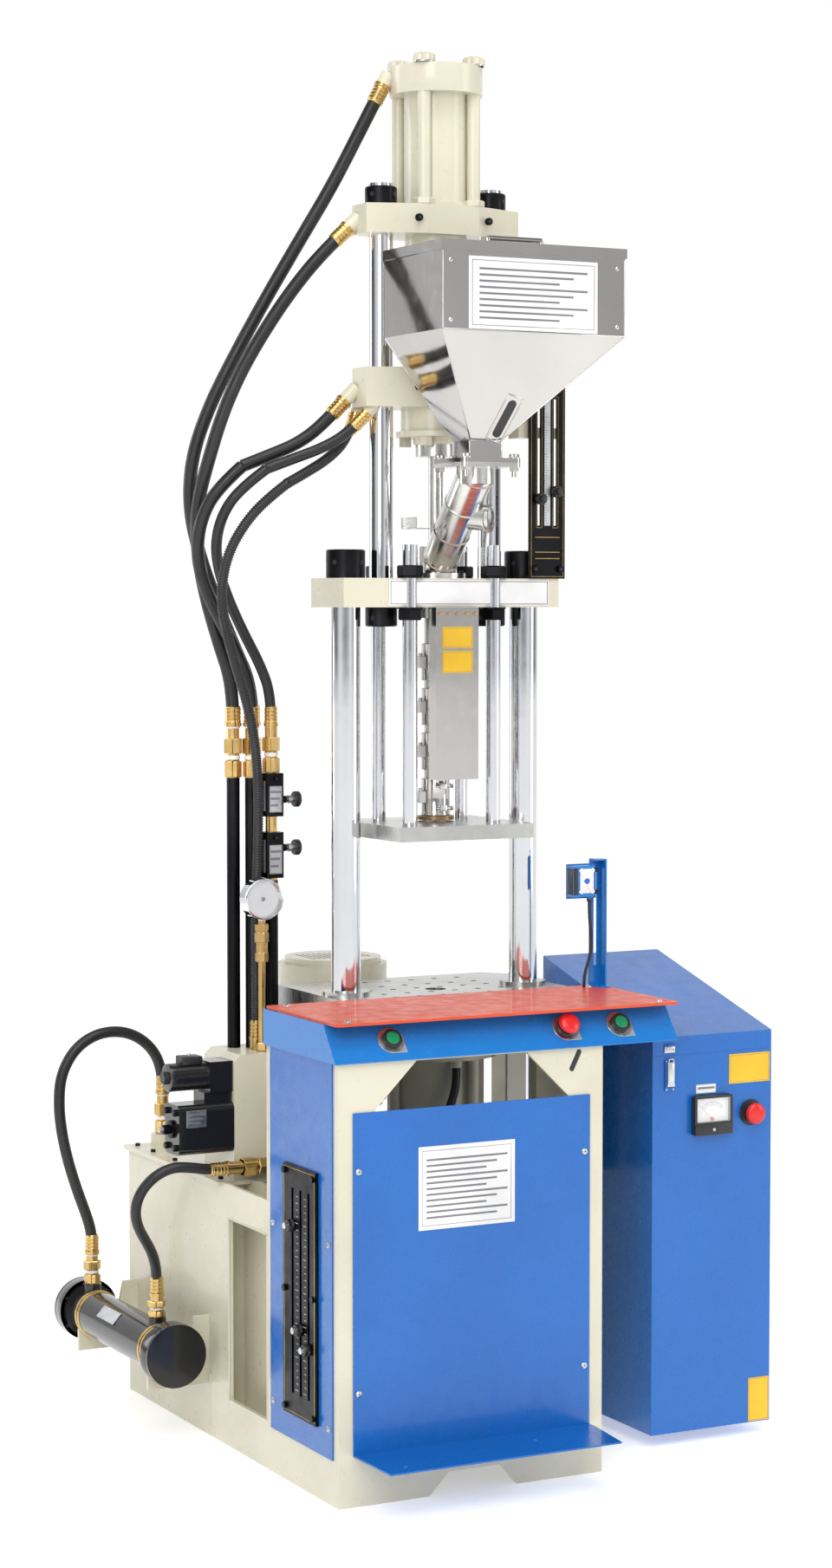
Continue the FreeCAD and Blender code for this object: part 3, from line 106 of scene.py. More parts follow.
CAST = Finish("dark casting", Kind.PAINT, (0.045, 0.047, 0.05), "cast_grey", 0.42, 160.0, 0.35)
BRASS = Finish("turned brass", Kind.METAL, (0.62, 0.42, 0.16), "brass", 0.22, 220.0, 0.03)
ZINC = Finish("zinc plate", Kind.METAL, (0.62, 0.62, 0.60), "machined_steel", 0.3)
RUBBER = Finish("hose cover", Kind.RUBBER, (0.008, 0.008, 0.009), "black_rubber", 0.4, 900.0, 0.12)
CONDUIT = Finish("conduit", Kind.PLASTIC, (0.012, 0.012, 0.012), "black_rubber", 0.42)
BLACK = Finish("black moulding", Kind.PLASTIC, (0.016, 0.016, 0.017), "black_plastic", 0.38)
GREEN = Finish("green cap", Kind.PLASTIC, (0.0, 0.22, 0.08), "green_plastic", 0.2)
RED = Finish("red cap", Kind.PLASTIC, (0.62, 0.012, 0.012), "red_plastic", 0.2)
SENSOR_BLUE = Finish("sensor blue", Kind.PLASTIC, (0.02, 0.12, 0.48), "blue_plastic", 0.3)
SILVER = Finish("silver legend", Kind.METAL, (0.60, 0.61, 0.62), "silver_paint", 0.3, 120.0, 0.02)
WHITE = Finish("white label", Kind.PLASTIC, (0.76, 0.76, 0.75), "silver_paint", 0.42)
PRINT = Finish("printed line", Kind.PLASTIC, (0.18, 0.18, 0.19), "black_plastic", 0.5)
YELLOW = Finish("yellow plate", Kind.PLASTIC, (0.70, 0.42, 0.01), "orange_paint", 0.35)
GOLD = Finish("gold line", Kind.METAL, (0.55, 0.38, 0.12), "brass", 0.35)
GLASS = Finish("clear window", Kind.GLASS, (0.95, 0.97, 0.97), "silver_paint", 0.03)
WELD = Finish("weld tint", Kind.METAL, (0.42, 0.33, 0.27), "stainless", 0.35, 140.0, 0.25)
BRONZE = Finish("bronze ring", Kind.METAL, (0.30, 0.17, 0.08), "brass", 0.35)
FLOOR = Finish("studio floor", Kind.PAINT, (0.86, 0.86, 0.86), "", 0.6)


class Materials:
    """Builds each finish's node tree once."""

    made: dict[str, bpy.types.Material] = {}

    @classmethod
    def get(cls, finish: Finish) -> bpy.types.Material:
        """Make or reuse the material of a finish.

        Args:
            finish: the finish to look up.

        Returns:
            The Blender material.
        """
        if finish.name not in cls.made:
            cls.made[finish.name] = cls._build(finish)
        return cls.made[finish.name]

    @classmethod
    def _build(cls, finish: Finish) -> bpy.types.Material:
        """Make the node tree of one finish.

        Args:
            finish: what to build.

        Returns:
            The new material.
        """
        material = bpy.data.materials.new(finish.name)
        material.use_nodes = True
        tree = material.node_tree
        shader = tree.nodes["Principled BSDF"]
        metal = finish.kind in (Kind.METAL, Kind.CHROME, Kind.BRUSHED)
        shader.inputs["Metallic"].default_value = 1.0 if metal else 0.0
        if finish.kind is Kind.GLASS:
            shader.inputs["Alpha"].default_value = 0.16
        if finish.kind is Kind.PAINT:
            shader.inputs["Coat Weight"].default_value = 0.3 if finish.roughness < 0.4 else 0.08
            shader.inputs["Coat Roughness"].default_value = 0.08
        cls._colour(tree, shader, finish)
        cls._roughness(tree, shader, finish)
        cls._bump(tree, shader, finish)
        return material

    @staticmethod
    def _noise(tree: bpy.types.NodeTree, scale: float, stretch: Sequence[float],
               detail: float = 3.0) -> bpy.types.Node:
        """Add a noise texture in object coordinates.

        Args:
            tree: the node tree.
            scale: noise scale, per metre.
            stretch: how much finer the noise is along each axis.
            detail: octaves of detail.

        Returns:
            The noise node.
        """
        place = tree.nodes.new("ShaderNodeTexCoord")
        mapping = tree.nodes.new("ShaderNodeMapping")
        mapping.inputs["Scale"].default_value = stretch
        noise = tree.nodes.new("ShaderNodeTexNoise")
        noise.inputs["Scale"].default_value = scale
        noise.inputs["Detail"].default_value = detail
        tree.links.new(place.outputs["Object"], mapping.inputs["Vector"])
        tree.links.new(mapping.outputs["Vector"], noise.inputs["Vector"])
        return noise

    @classmethod
    def _colour(cls, tree: bpy.types.NodeTree, shader: bpy.types.Node, finish: Finish) -> None:
        """Vary the colour in soft random patches, a little darker and lighter than the finish."""
        noise = cls._noise(tree, 5.0, (1, 1, 1), 5.0)
        ramp = tree.nodes.new("ShaderNodeValToRGB")
        depth = {Kind.PAINT: 0.95, Kind.CHROME: 0.96, Kind.BRUSHED: 0.86, Kind.METAL: 0.8}.get(finish.kind,
                                                                                               0.86)
        dark = [c * depth for c in finish.colour]
        light = [min(1.0, c * (2 - depth) + (0.004 if depth < 0.9 else 0.0)) for c in finish.colour]
        ramp.color_ramp.elements[0].position, ramp.color_ramp.elements[1].position = 0.36, 0.64
        ramp.color_ramp.elements[0].color = (*dark, 1)
        ramp.color_ramp.elements[1].color = (*light, 1)
        tree.links.new(noise.outputs["Fac"], ramp.inputs["Fac"])
        tree.links.new(ramp.outputs["Color"], shader.inputs["Base Color"])

    @classmethod
    def _roughness(cls, tree: bpy.types.NodeTree, shader: bpy.types.Node, finish: Finish) -> None:
        """Vary the roughness with a finer pattern, as handling and polishing marks do."""
        noise = cls._noise(tree, 38.0, finish.stretch, 4.0)
        spread = tree.nodes.new("ShaderNodeMapRange")
        spread.inputs["From Min"].default_value = 0.3
        spread.inputs["From Max"].default_value = 0.7
        spread.inputs["To Min"].default_value = finish.roughness * 0.75
        spread.inputs["To Max"].default_value = finish.roughness * 1.35
        tree.links.new(noise.outputs["Fac"], spread.inputs["Value"])
        tree.links.new(spread.outputs["Result"], shader.inputs["Roughness"])

    @classmethod
    def _bump(cls, tree: bpy.types.NodeTree, shader: bpy.types.Node, finish: Finish) -> None:
        """Add the fine relief: orange peel, brush lines, casting skin or cloth marks."""
        noise = cls._noise(tree, finish.grain, finish.stretch, 2.0)
        bump = tree.nodes.new("ShaderNodeBump")
        bump.inputs["Strength"].default_value = finish.bump
        bump.inputs["Distance"].default_value = 0.0006
        tree.links.new(noise.outputs["Fac"], bump.inputs["Height"])
        tree.links.new(bump.outputs["Normal"], shader.inputs["Normal"])


# ---- modelling ----
def at(x: float, y: float, z: float) -> Vector:
    """Turn machine millimetres into a point of the frame in metres."""
    return ORIGIN + Vector((x, y, z)) / 1000


def clear() -> None:
    """Deselect everything."""
    bpy.ops.object.select_all(action="DESELECT")


def only(obj: bpy.types.Object) -> None:
    """Select and activate one object."""
    clear()
    obj.select_set(True)
    bpy.context.view_layer.objects.active = obj


def settle(obj: bpy.types.Object, bevel: float = 0.0, segments: int = 2,
           angle: float = 30.0) -> bpy.types.Object:
    """Move an object's place into its mesh, bevel its sharp edges and smooth it.

    Args:
        obj: the object.
        bevel: bevel width in millimetres.
        segments: bevel segments.
        angle: edges sharper than this, in degrees, are bevelled.

    Returns:
        The same object.
    """
    only(obj)
    bpy.ops.object.transform_apply(location=True, rotation=True, scale=True)
    if bevel:
        mod = obj.modifiers.new("bevel", "BEVEL")
        mod.width, mod.segments, mod.limit_method = bevel / 1000, segments, "ANGLE"
        mod.angle_limit = math.radians(angle)
        mod.harden_normals = False
        bpy.ops.object.modifier_apply(modifier=mod.name)
    bpy.ops.object.shade_smooth_by_angle(angle=math.radians(35))
    return obj


def block(low: Point, high: Point, bevel: float = 0.0, segments: int = 2) -> bpy.types.Object:
    """Add a block between two corners, with rounded edges.

    Args:
        low: low corner in machine millimetres.
        high: high corner.
        bevel: edge rounding in millimetres.
        segments: bevel segments.

    Returns:
        The new object.
    """
    clear()
    a, b = at(*low), at(*high)
    bpy.ops.mesh.primitive_cube_add(size=1, location=(a + b) / 2)
    obj = bpy.context.object
    obj.scale = b - a
    return settle(obj, bevel, segments)


def turned(foot: Point, way: Point, profile: Sequence[tuple[float, float]], sides: int = 40,
           spin: float = 0.0,
           bevel: float = 0.0) -> bpy.types.Object:
    """Add a turned piece by extruding and scaling a disc along a profile.

    Args:
        foot: where height 0 lies, in machine millimetres.
        way: direction of the axis.
        profile: (radius, height) pairs from foot to top.
        sides: vertices round the axis; 6 makes a hexagon.
        spin: turn about the axis in degrees.
        bevel: rounding of sharp edges.

    Returns:
        The new object.
    """
    clear()
    radius, height = profile[0]
    bpy.ops.mesh.primitive_circle_add(vertices=sides, radius=radius / 1000, fill_type="NGON",
                                      location=(0, 0, 0))
    obj = bpy.context.object
    bpy.ops.object.mode_set(mode="EDIT")
    bpy.ops.mesh.select_all(action="SELECT")
    bpy.ops.transform.translate(value=(0, 0, height / 1000))
    for r, h in profile[1:]:
        bpy.ops.mesh.extrude_region_move(TRANSFORM_OT_translate={"value": (0, 0, (h - height) / 1000)})
        factor = r / radius
        bpy.ops.transform.resize(value=(factor, factor, 1), center_override=(0, 0, h / 1000))
        radius, height = r, h
    bpy.ops.mesh.select_all(action="SELECT")
    bpy.ops.mesh.normals_make_consistent(inside=False)
    bpy.ops.object.mode_set(mode="OBJECT")
    turn = Vector((0, 0, 1)).rotation_difference(Vector(way).normalized()).to_matrix().to_4x4()
    obj.data.transform(Matrix.Translation(at(*foot)) @ turn @ Matrix.Rotation(math.radians(spin), 4, "Z"))
    return settle(obj, bevel)


def hollow(obj: bpy.types.Object) -> bpy.types.Object:
    """Open both ends of a turned sleeve, so that what runs through it stays clear."""
    only(obj)
    bpy.ops.object.mode_set(mode="EDIT")
    bpy.ops.mesh.select_mode(type="FACE")
    bpy.ops.mesh.select_all(action="DESELECT")
    bpy.ops.mesh.select_face_by_sides(number=4, type="GREATER")
    bpy.ops.mesh.delete(type="FACE")
    bpy.ops.object.mode_set(mode="OBJECT")
    return obj


def bar(p: Point, q: Point, r: float, sides: int = 32, bevel: float = 0.0) -> bpy.types.Object:
    """Add a round bar between two points.

    Args:
        p: first end.
        q: other end.
        r: radius in millimetres.
        sides: vertices round the bar.
        bevel: rounding of both ends.

    Returns:
        The new object.
    """
    way = Vector(q) - Vector(p)
    b = min(bevel, r * 0.6, way.length * 0.4)
    rings = [(r, 0.0), (r, way.length)]
    if b:
        rings = [(r - b, 0.0), (r - b * 0.3, b * 0.3), (r, b), (r, way.length - b),
                 (r - b * 0.3, way.length - b * 0.3),
                 (r - b, way.length)]
    return turned(p, tuple(way), rings, sides)


def shift(obj: bpy.types.Object, x: float, y: float, z: float) -> bpy.types.Object:
    """Move an object's mesh by millimetres."""
    obj.data.transform(Matrix.Translation(Vector((x, y, z)) / 1000))
    return obj


def twin(obj: bpy.types.Object) -> bpy.types.Object:
    """Copy an object together with its mesh."""
    made = obj.copy()
    made.data = obj.data.copy()
    bpy.context.collection.objects.link(made)
    return made


def repeat(parts: Sequence[bpy.types.Object], places: Sequence[Point]) -> list[bpy.types.Object]:
    """Copy parts that were modelled at the first place to all the others, each copy with its own mesh.

    Args:
        parts: the modelled parts, which are kept.
        places: the first place and the others, in machine millimetres.

    Returns:
        The parts and their copies.
    """
    made = list(parts)
    for place in places[1:]:
        offset = Vector(place) - Vector(places[0])
        made += [shift(twin(part), *offset) for part in parts]
    return made


def on_circle(centre: Sequence[float], radius: float, angles: Iterable[float], z: float) -> list[Point]:
    """Places on a level circle.

    Args:
        centre: X and Y of its middle.
        radius: in millimetres.
        angles: in radians.
        z: its height.

    Returns:
        One place for each angle.
    """
    return [(centre[0] + radius * math.cos(a), centre[1] + radius * math.sin(a), z) for a in angles]


def quarter_turns(first: float) -> list[float]:
    """Four angles in radians, a quarter turn apart, from first in degrees."""
    return [math.radians(first + 90 * k) for k in range(4)]


def dress(obj: bpy.types.Object, finish: Finish) -> bpy.types.Object:
    """Give an object one finish."""
    obj.data.materials.clear()
    obj.data.materials.append(Materials.get(finish))
    return obj


def join(parts: Sequence[bpy.types.Object]) -> bpy.types.Object:
    """Join objects into one, each keeping its finish.

    Args:
        parts: the objects.

    Returns:
        The joined object.
    """
    clear()
    for part in parts:
        part.select_set(True)
    bpy.context.view_layer.objects.active = parts[0]
    if len(parts) > 1:
        bpy.ops.object.join()
    return parts[0]


def deliver(name: str, body: str, finish: Finish, parts: Sequence[bpy.types.Object],
            replaces: Sequence[str] = ()) -> bpy.types.Object:
    """Name a finished piece, let it ride on its body and report it.

    Args:
        name: the piece's name.
        body: the body that it moves with.
        finish: its main finish, given to parts that have none.
        parts: the objects that make it up.
        replaces: CAD nodes that it stands for.

    Returns:
        The finished piece.
    """
    for part in parts:
        if not part.data.materials:
            dress(part, finish)
    obj = join(parts)
    obj.name = obj.data.name = name
    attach(obj, body)
    if replaces:
        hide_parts(*replaces)
    log.info("%s: %d faces on %s", name, len(obj.data.polygons), body)
    return obj


def cap_screw(place: Point, way: Point, r: float, finish: Finish = BLACK_STEEL) -> list[bpy.types.Object]:
    """A socket head screw: a rounded head with a black hexagon on it as painted shade of its socket recess.

    Args:
        place: seat of the head.
        way: direction that the head faces.
        r: head radius in millimetres.
        finish: finish of the head.

    Returns:
        Its parts.
    """
    head = turned(place, way, [(r, 0), (r, r * 0.9), (r * 0.9, r * 1.05), (r * 0.52, r * 1.05)], 24)
    # the black hexagon on the head is painted shade of the socket recess
    socket = turned(place, way, [(r * 0.5, r * 1.02), (r * 0.5, r * 1.09)], 6)
    return [dress(head, finish), dress(socket, BLACK)]


def pan_screw(place: Point, way: Point, r: float) -> list[bpy.types.Object]:
    """A domed screw head, with a black square on the dome as painted shade of its crossed slot."""
    head = turned(place, way, [(r, 0), (r * 0.96, r * 0.25), (r * 0.7, r * 0.5), (r * 0.3, r * 0.6)], 20)
    # the black square on the dome is painted shade of the slot
    slot = turned(place, way, [(r * 0.32, r * 0.59), (r * 0.3, r * 0.64)], 4)
    return [dress(head, ZINC), dress(slot, BLACK)]


def row(screw: Callable[..., list[bpy.types.Object]], places: Sequence[Point], way: Point,
        r: float) -> list[bpy.types.Object]:
    """Screws of one kind, modelled once and copied to the other places."""
    return repeat(screw(places[0], way, r), places)


def label(low: Point, high: Point, rows: int, face: Finish = WHITE) -> list[bpy.types.Object]:
    """A thin plate that faces the front, with a border and plain rows of grey bars.

    Args:
        low: low corner, whose Y is the plate's face.
        high: high corner, whose Y is its back.
        rows: how many rows of bars; 0 leaves it bare.
        face: finish of the plate.

    Returns:
        Its parts.
    """
    parts = [dress(block(low, high, 0.4, 1), face)]
    (x0, y, z0), (x1, _, z1) = low, high
    w, h, t = x1 - x0, z1 - z0, max(0.5, (x1 - x0) * 0.004)
    m = min(w, h) * 0.05
    for a, b, c, d in ((m, m, w - m, m + t), (m, h - m - t, w - m, h - m), (m, m, m + t, h - m),
                       (w - m - t, m, w - m, h - m)):
        parts.append(dress(block((x0 + a, y - 0.25, z0 + b), (x0 + c, y + 0.2, z0 + d)), PRINT))
    for k in range(rows):
        z = z1 - h * (0.14 + 0.76 * (k + 0.5) / rows)
        reach = w * (0.84 - 0.22 * ((k * 7) % 3) / 2)
        parts.append(dress(block((x0 + w * 0.08, y - 0.25, z),
                                 (x0 + w * 0.08 + reach, y + 0.2, z + h * 0.16 / rows * 1.6)), PRINT))
    return parts


def tube_mesh(points: Sequence[Point], diameter: float, rib: float = 0.0, pitch: float = 6.0,
              sides: int = 20) -> tuple[bpy.types.Object, list[Vector]]:
    """A tube that follows a smooth spline through its route.

    Args:
        points: route in machine millimetres, the spline's control points.
        diameter: in millimetres.
        rib: depth of the corrugation, 0 for a smooth tube.
        pitch: length of one corrugation.
        sides: vertices round the tube.

    Returns:
        The tube and the centre points that it follows.
    """
    curve = bpy.data.curves.new("route", "CURVE")
    curve.dimensions = "3D"
    spline = curve.splines.new("NURBS")
    spline.points.add(len(points) - 1)
    for control, p in zip(spline.points, points):
        control.co = (*at(*p), 1)
    spline.order_u = 3
    spline.use_endpoint_u = True
    spline.resolution_u = 24
    holder = bpy.data.objects.new("route", curve)
    bpy.context.collection.objects.link(holder)
    line = bpy.data.meshes.new_from_object(holder)
    path = [v.co.copy() for v in line.vertices]
    bpy.data.objects.remove(holder)
    path = even(path, pitch / 4000 if rib else 0.008)
    clear()
    bpy.ops.mesh.primitive_circle_add(vertices=sides, radius=diameter / 2000, fill_type="NGON",
                                      location=(0, 0, 0))
    obj = bpy.context.object
    ring = [v.co.copy() for v in obj.data.vertices]
    verts, faces = [], []
    frame_turn = Vector((0, 0, 1)).rotation_difference(path[1] - path[0]).to_matrix()
    way = (path[1] - path[0]).normalized()
    for k, p in enumerate(path):
        ahead = (path[min(k + 1, len(path) - 1)] - path[max(k - 1, 0)]).normalized()
        frame_turn = way.rotation_difference(ahead).to_matrix() @ frame_turn
        way = ahead
        shrink = 1 - 2 * rib / diameter * (k % 4 in (0, 1)) if 1 < k < len(path) - 2 else 1
        verts += [p + frame_turn @ (v * shrink) for v in ring]
    for k in range(len(path) - 1):
        for i in range(sides):
            j = (i + 1) % sides
            faces.append((k * sides + i, k * sides + j, (k + 1) * sides + j, (k + 1) * sides + i))
    faces += [tuple(reversed(range(sides))), tuple(range((len(path) - 1) * sides, len(path) * sides))]
    mesh = bpy.data.meshes.new("tube")
    mesh.from_pydata(verts, [], faces)
    obj.data = mesh
    only(obj)
    bpy.ops.object.shade_smooth_by_angle(angle=math.radians(50))
    return obj, path


def even(path: Sequence[Vector], step: float) -> list[Vector]:
    """Space a line's points evenly.

    Args:
        path: the line's points.
        step: spacing in metres.

    Returns:
        Evenly spaced points from the first to the last.
    """
    total = sum((b - a).length for a, b in zip(path, path[1:]))
    count = max(8, round(total / step))
    gap, made, run, k = total / count, [path[0]], 0.0, 0
    for n in range(1, count):
        while run + (path[k + 1] - path[k]).length < n * gap:
            run += (path[k + 1] - path[k]).length
            k += 1
        made.append(path[k].lerp(path[k + 1], (n * gap - run) / (path[k + 1] - path[k]).length))
    return made + [path[-1]]


def length(path: Sequence[Vector]) -> float:
    """Length of a line in metres."""
    return sum((b - a).length for a, b in zip(path, path[1:]))


def stand(parts: Sequence[bpy.types.Object], place: Point, right: Point,
          up: Point) -> list[bpy.types.Object]:
    """Stand parts that were modelled about the machine's origin on a face.

    Args:
        parts: parts with X to the right, Y up the face and Z out of it.
        place: where their origin goes.
        right: direction of the face's right.
        up: direction up the face.

    Returns:
        The same parts.
    """
    x, y = Vector(right).normalized(), Vector(up).normalized()
    turn = Matrix((x, y, x.cross(y))).transposed().to_4x4()
    for part in parts:
        part.data.transform(Matrix.Translation(at(*place)) @ turn @ Matrix.Translation(-ORIGIN))
    return list(parts)


def strip(p: Point, q: Point, r: float, finish: Finish) -> bpy.types.Object:
    """A thin dressed round strip, as a tick or a weld bead."""
    return dress(bar(p, q, r, 8), finish)


def knob(foot: Point, way: Point, r: float, height: float, finish: Finish) -> list[bpy.types.Object]:
    """A grip with flutes round its rim and a dished top.

    Args:
        foot: middle of its seat.
        way: direction that it faces.
        r: radius in millimetres.
        height: height of the grip.
        finish: its finish.

    Returns:
        Its parts.
    """
    grip = turned(foot, way, [(r * 0.9, 0), (r, height * 0.15), (r, height * 0.85), (r * 0.9, height),
                              (r * 0.6, height), (r * 0.55, height * 0.9)], 28)
    only(grip)
    bpy.ops.object.mode_set(mode="EDIT")
    bpy.ops.mesh.select_mode(type="FACE")
    bpy.ops.mesh.select_all(action="DESELECT")
    bpy.ops.object.mode_set(mode="OBJECT")
    centre, axis = at(*foot), Vector(way).normalized()
    for face in grip.data.polygons:
        away = (face.center - centre) - axis * (face.center - centre).dot(axis)
        face.select = away.length > r * 0.00097 and abs(face.normal.dot(axis)) < 0.2 and face.index % 2 == 0
    bpy.ops.object.mode_set(mode="EDIT")
    bpy.ops.mesh.inset(thickness=r * 0.00003, use_individual=True)
    bpy.ops.transform.shrink_fatten(value=-r * 0.00009)
    bpy.ops.object.mode_set(mode="OBJECT")
    return [dress(grip, finish)]


# ---- sub-assemblies ----
@dataclass
class CadFinishes:
    """Finishes of the CAD nodes that are shown as they are."""

    nodes: dict[str, Finish] = field(default_factory=lambda: {
        "base_frame": CREAM, "work_table": GROUND, "table_cover": ORANGE, "front_trim": TRIM_BLUE,
        "front_panel": BLUE, "side_panel": BLUE, "limit_plate": BLACK_STEEL, "limit_knob_1": BLACK,
        "limit_knob_2": BLACK, "limit_knob_3": BLACK, "cabinet_body": BLUE, "cabinet_lid": BLUE,
        "latch_lever": ZINC, "panel_devices": BLACK, "meter_needle": RED, "sensor": TRIM_BLUE,
        "clamp_cylinder": CREAM, "motor_pump": CREAM, "manifold_block": CREAM, "valve_stack": GLOSS_BLACK,
        "riser_pipes": BLACK_STEEL, "brass_fittings": BRASS, "flow_knob_upper": ZINC,
        "flow_knob_lower": ZINC,
        "pressure_gauge": CHROME, "gauge_needle": BLACK, "cooler": GLOSS_BLACK, "guide_columns": CHROME,
        "hanging_rods": CHROME, "column_nuts": BLACK_STEEL, "head_platen": CREAM, "mould_plate": GROUND,
        "barrel": ZINC, "barrel_shield": BRIGHT, "top_plate": CREAM, "injection_cylinder": CREAM,
        "crosshead": CAST, "hopper": BRIGHT, "hopper_lid": BRIGHT, "feed_pipe": STAINLESS,
        "shut_off_slide": STAINLESS, "scale_plate": BLACK_STEEL, "scale_knob_left": BLACK,
        "scale_knob_right": BLACK, "carriage": CREAM, "hydraulic_motor": CREAM, "screw": GROUND,
        "start_button_left": GREEN, "start_button_right": GREEN, "stop_button_front": RED,
        "stop_button_cabinet": RED,
    })

    def build(self) -> None:
        """Give each node its finish."""
        for name, finish in self.nodes.items():
            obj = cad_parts[name]
            for slot in obj.material_slots:
                slot.material = Materials.get(finish)
            if not obj.material_slots:
                obj.data.materials.append(Materials.get(finish))
            log.info("%s: CAD node, %s", name, finish.name)


@dataclass
class Studio:
    """Floor, lights and camera."""

    eye: Point = (-2357.65, -4849.2, 1569.0)
    yaw: float = 27.36
    pitch: float = 3.227
    lens: float = 72.18

    def build(self) -> None:
        """Build the whole studio."""
        self._floor()
        self._world()
        self._lights()
        self._camera()

    def _floor(self) -> None:
        """A wide flat pale floor disc with a faint, even glow."""
        clear()
        bpy.ops.mesh.primitive_circle_add(vertices=96, radius=60, fill_type="NGON",
                                          location=(0, 0, -0.0005))
        floor = bpy.context.object
        floor.name = "studio_floor"
        dress(floor, FLOOR)
        shader = Materials.get(FLOOR).node_tree.nodes["Principled BSDF"]
        shader.inputs["Emission Color"].default_value = (1, 1, 1, 1)
        shader.inputs["Emission Strength"].default_value = 0.42

    def _world(self) -> None:
        """A surround that is white behind the machine and has dark and light bands beside the camera."""
        world = bpy.data.worlds.new("studio")
        world.use_nodes = True
        tree = world.node_tree
        place = tree.nodes.new("ShaderNodeTexCoord")
        along = tree.nodes.new("ShaderNodeVectorMath")
        along.operation = "DOT_PRODUCT"
        along.inputs[1].default_value = (math.sin(math.radians(self.yaw)), math.cos(math.radians(self.yaw)),
                                         0)
        spread = tree.nodes.new("ShaderNodeMapRange")
        spread.inputs["From Min"].default_value = -1
        ramp = tree.nodes.new("ShaderNodeValToRGB")
        bands = ramp.color_ramp.elements
        bands[0].position, bands[0].color = 0.0, (0.30, 0.30, 0.31, 1)
        bands[1].position, bands[1].color = 0.96, (1, 1, 1, 1)
        for position, value in ((0.10, 0.85), (0.24, 0.55), (0.34, 0.16), (0.46, 0.34), (0.6, 0.2),
                                (0.76, 0.5), (0.9, 0.95)):
            bands.new(position).color = (value, value, value * 1.02, 1)
        tree.links.new(place.outputs["Generated"], along.inputs[0])
        tree.links.new(along.outputs["Value"], spread.inputs["Value"])
        tree.links.new(spread.outputs["Result"], ramp.inputs["Fac"])
        tree.links.new(ramp.outputs["Color"], tree.nodes["Background"].inputs["Color"])
        tree.nodes["Background"].inputs["Strength"].default_value = 1.05
        bpy.context.scene.world = world
        bpy.context.scene.view_settings.view_transform = "Standard"

    def _lights(self) -> None:
        """A large key at the front left, a fill at the right, a strip behind and a soft sun from above."""
        for name, place, size, power in (("key", (-3200, -3600, 3400), (2.2, 3.4), 105),
                                         ("fill", (3800, -2400, 2200), (1.4, 3.2), 42),
                                         ("top", (400, -800, 5200), (3.0, 2.0), 40),
                                         ("back", (-2400, 3400, 2600), (1.2, 3.6), 45)):
            light = bpy.data.lights.new(name, "AREA")
            light.shape, light.size, light.size_y, light.energy = "RECTANGLE", *size, power
            lamp = bpy.data.objects.new(name, light)
            bpy.context.collection.objects.link(lamp)
            lamp.location = at(*place)
            lamp.rotation_euler = (at(403, 300, 1250) - lamp.location).to_track_quat("-Z", "Y").to_euler()
        sun = bpy.data.lights.new("sun", "SUN")
        sun.energy, sun.angle = 1.0, math.radians(50)
        lamp = bpy.data.objects.new("sun", sun)
        bpy.context.collection.objects.link(lamp)
        lamp.rotation_euler = (math.radians(32), math.radians(-14), 0)

    def _camera(self) -> None:
        """The camera at the front left."""
        yaw, pitch = math.radians(self.yaw), math.radians(self.pitch)
        way = Vector((math.sin(yaw) * math.cos(pitch), math.cos(yaw) * math.cos(pitch), -math.sin(pitch)))
        camera = bpy.data.cameras.new("camera")
        camera.lens, camera.sensor_width, camera.clip_end = self.lens, 36.0, 100.0
        holder = bpy.data.objects.new("camera", camera)
        bpy.context.collection.objects.link(holder)
        holder.location = at(*self.eye)
        holder.rotation_euler = way.to_track_quat("-Z", "Y").to_euler()
        bpy.context.scene.camera = holder


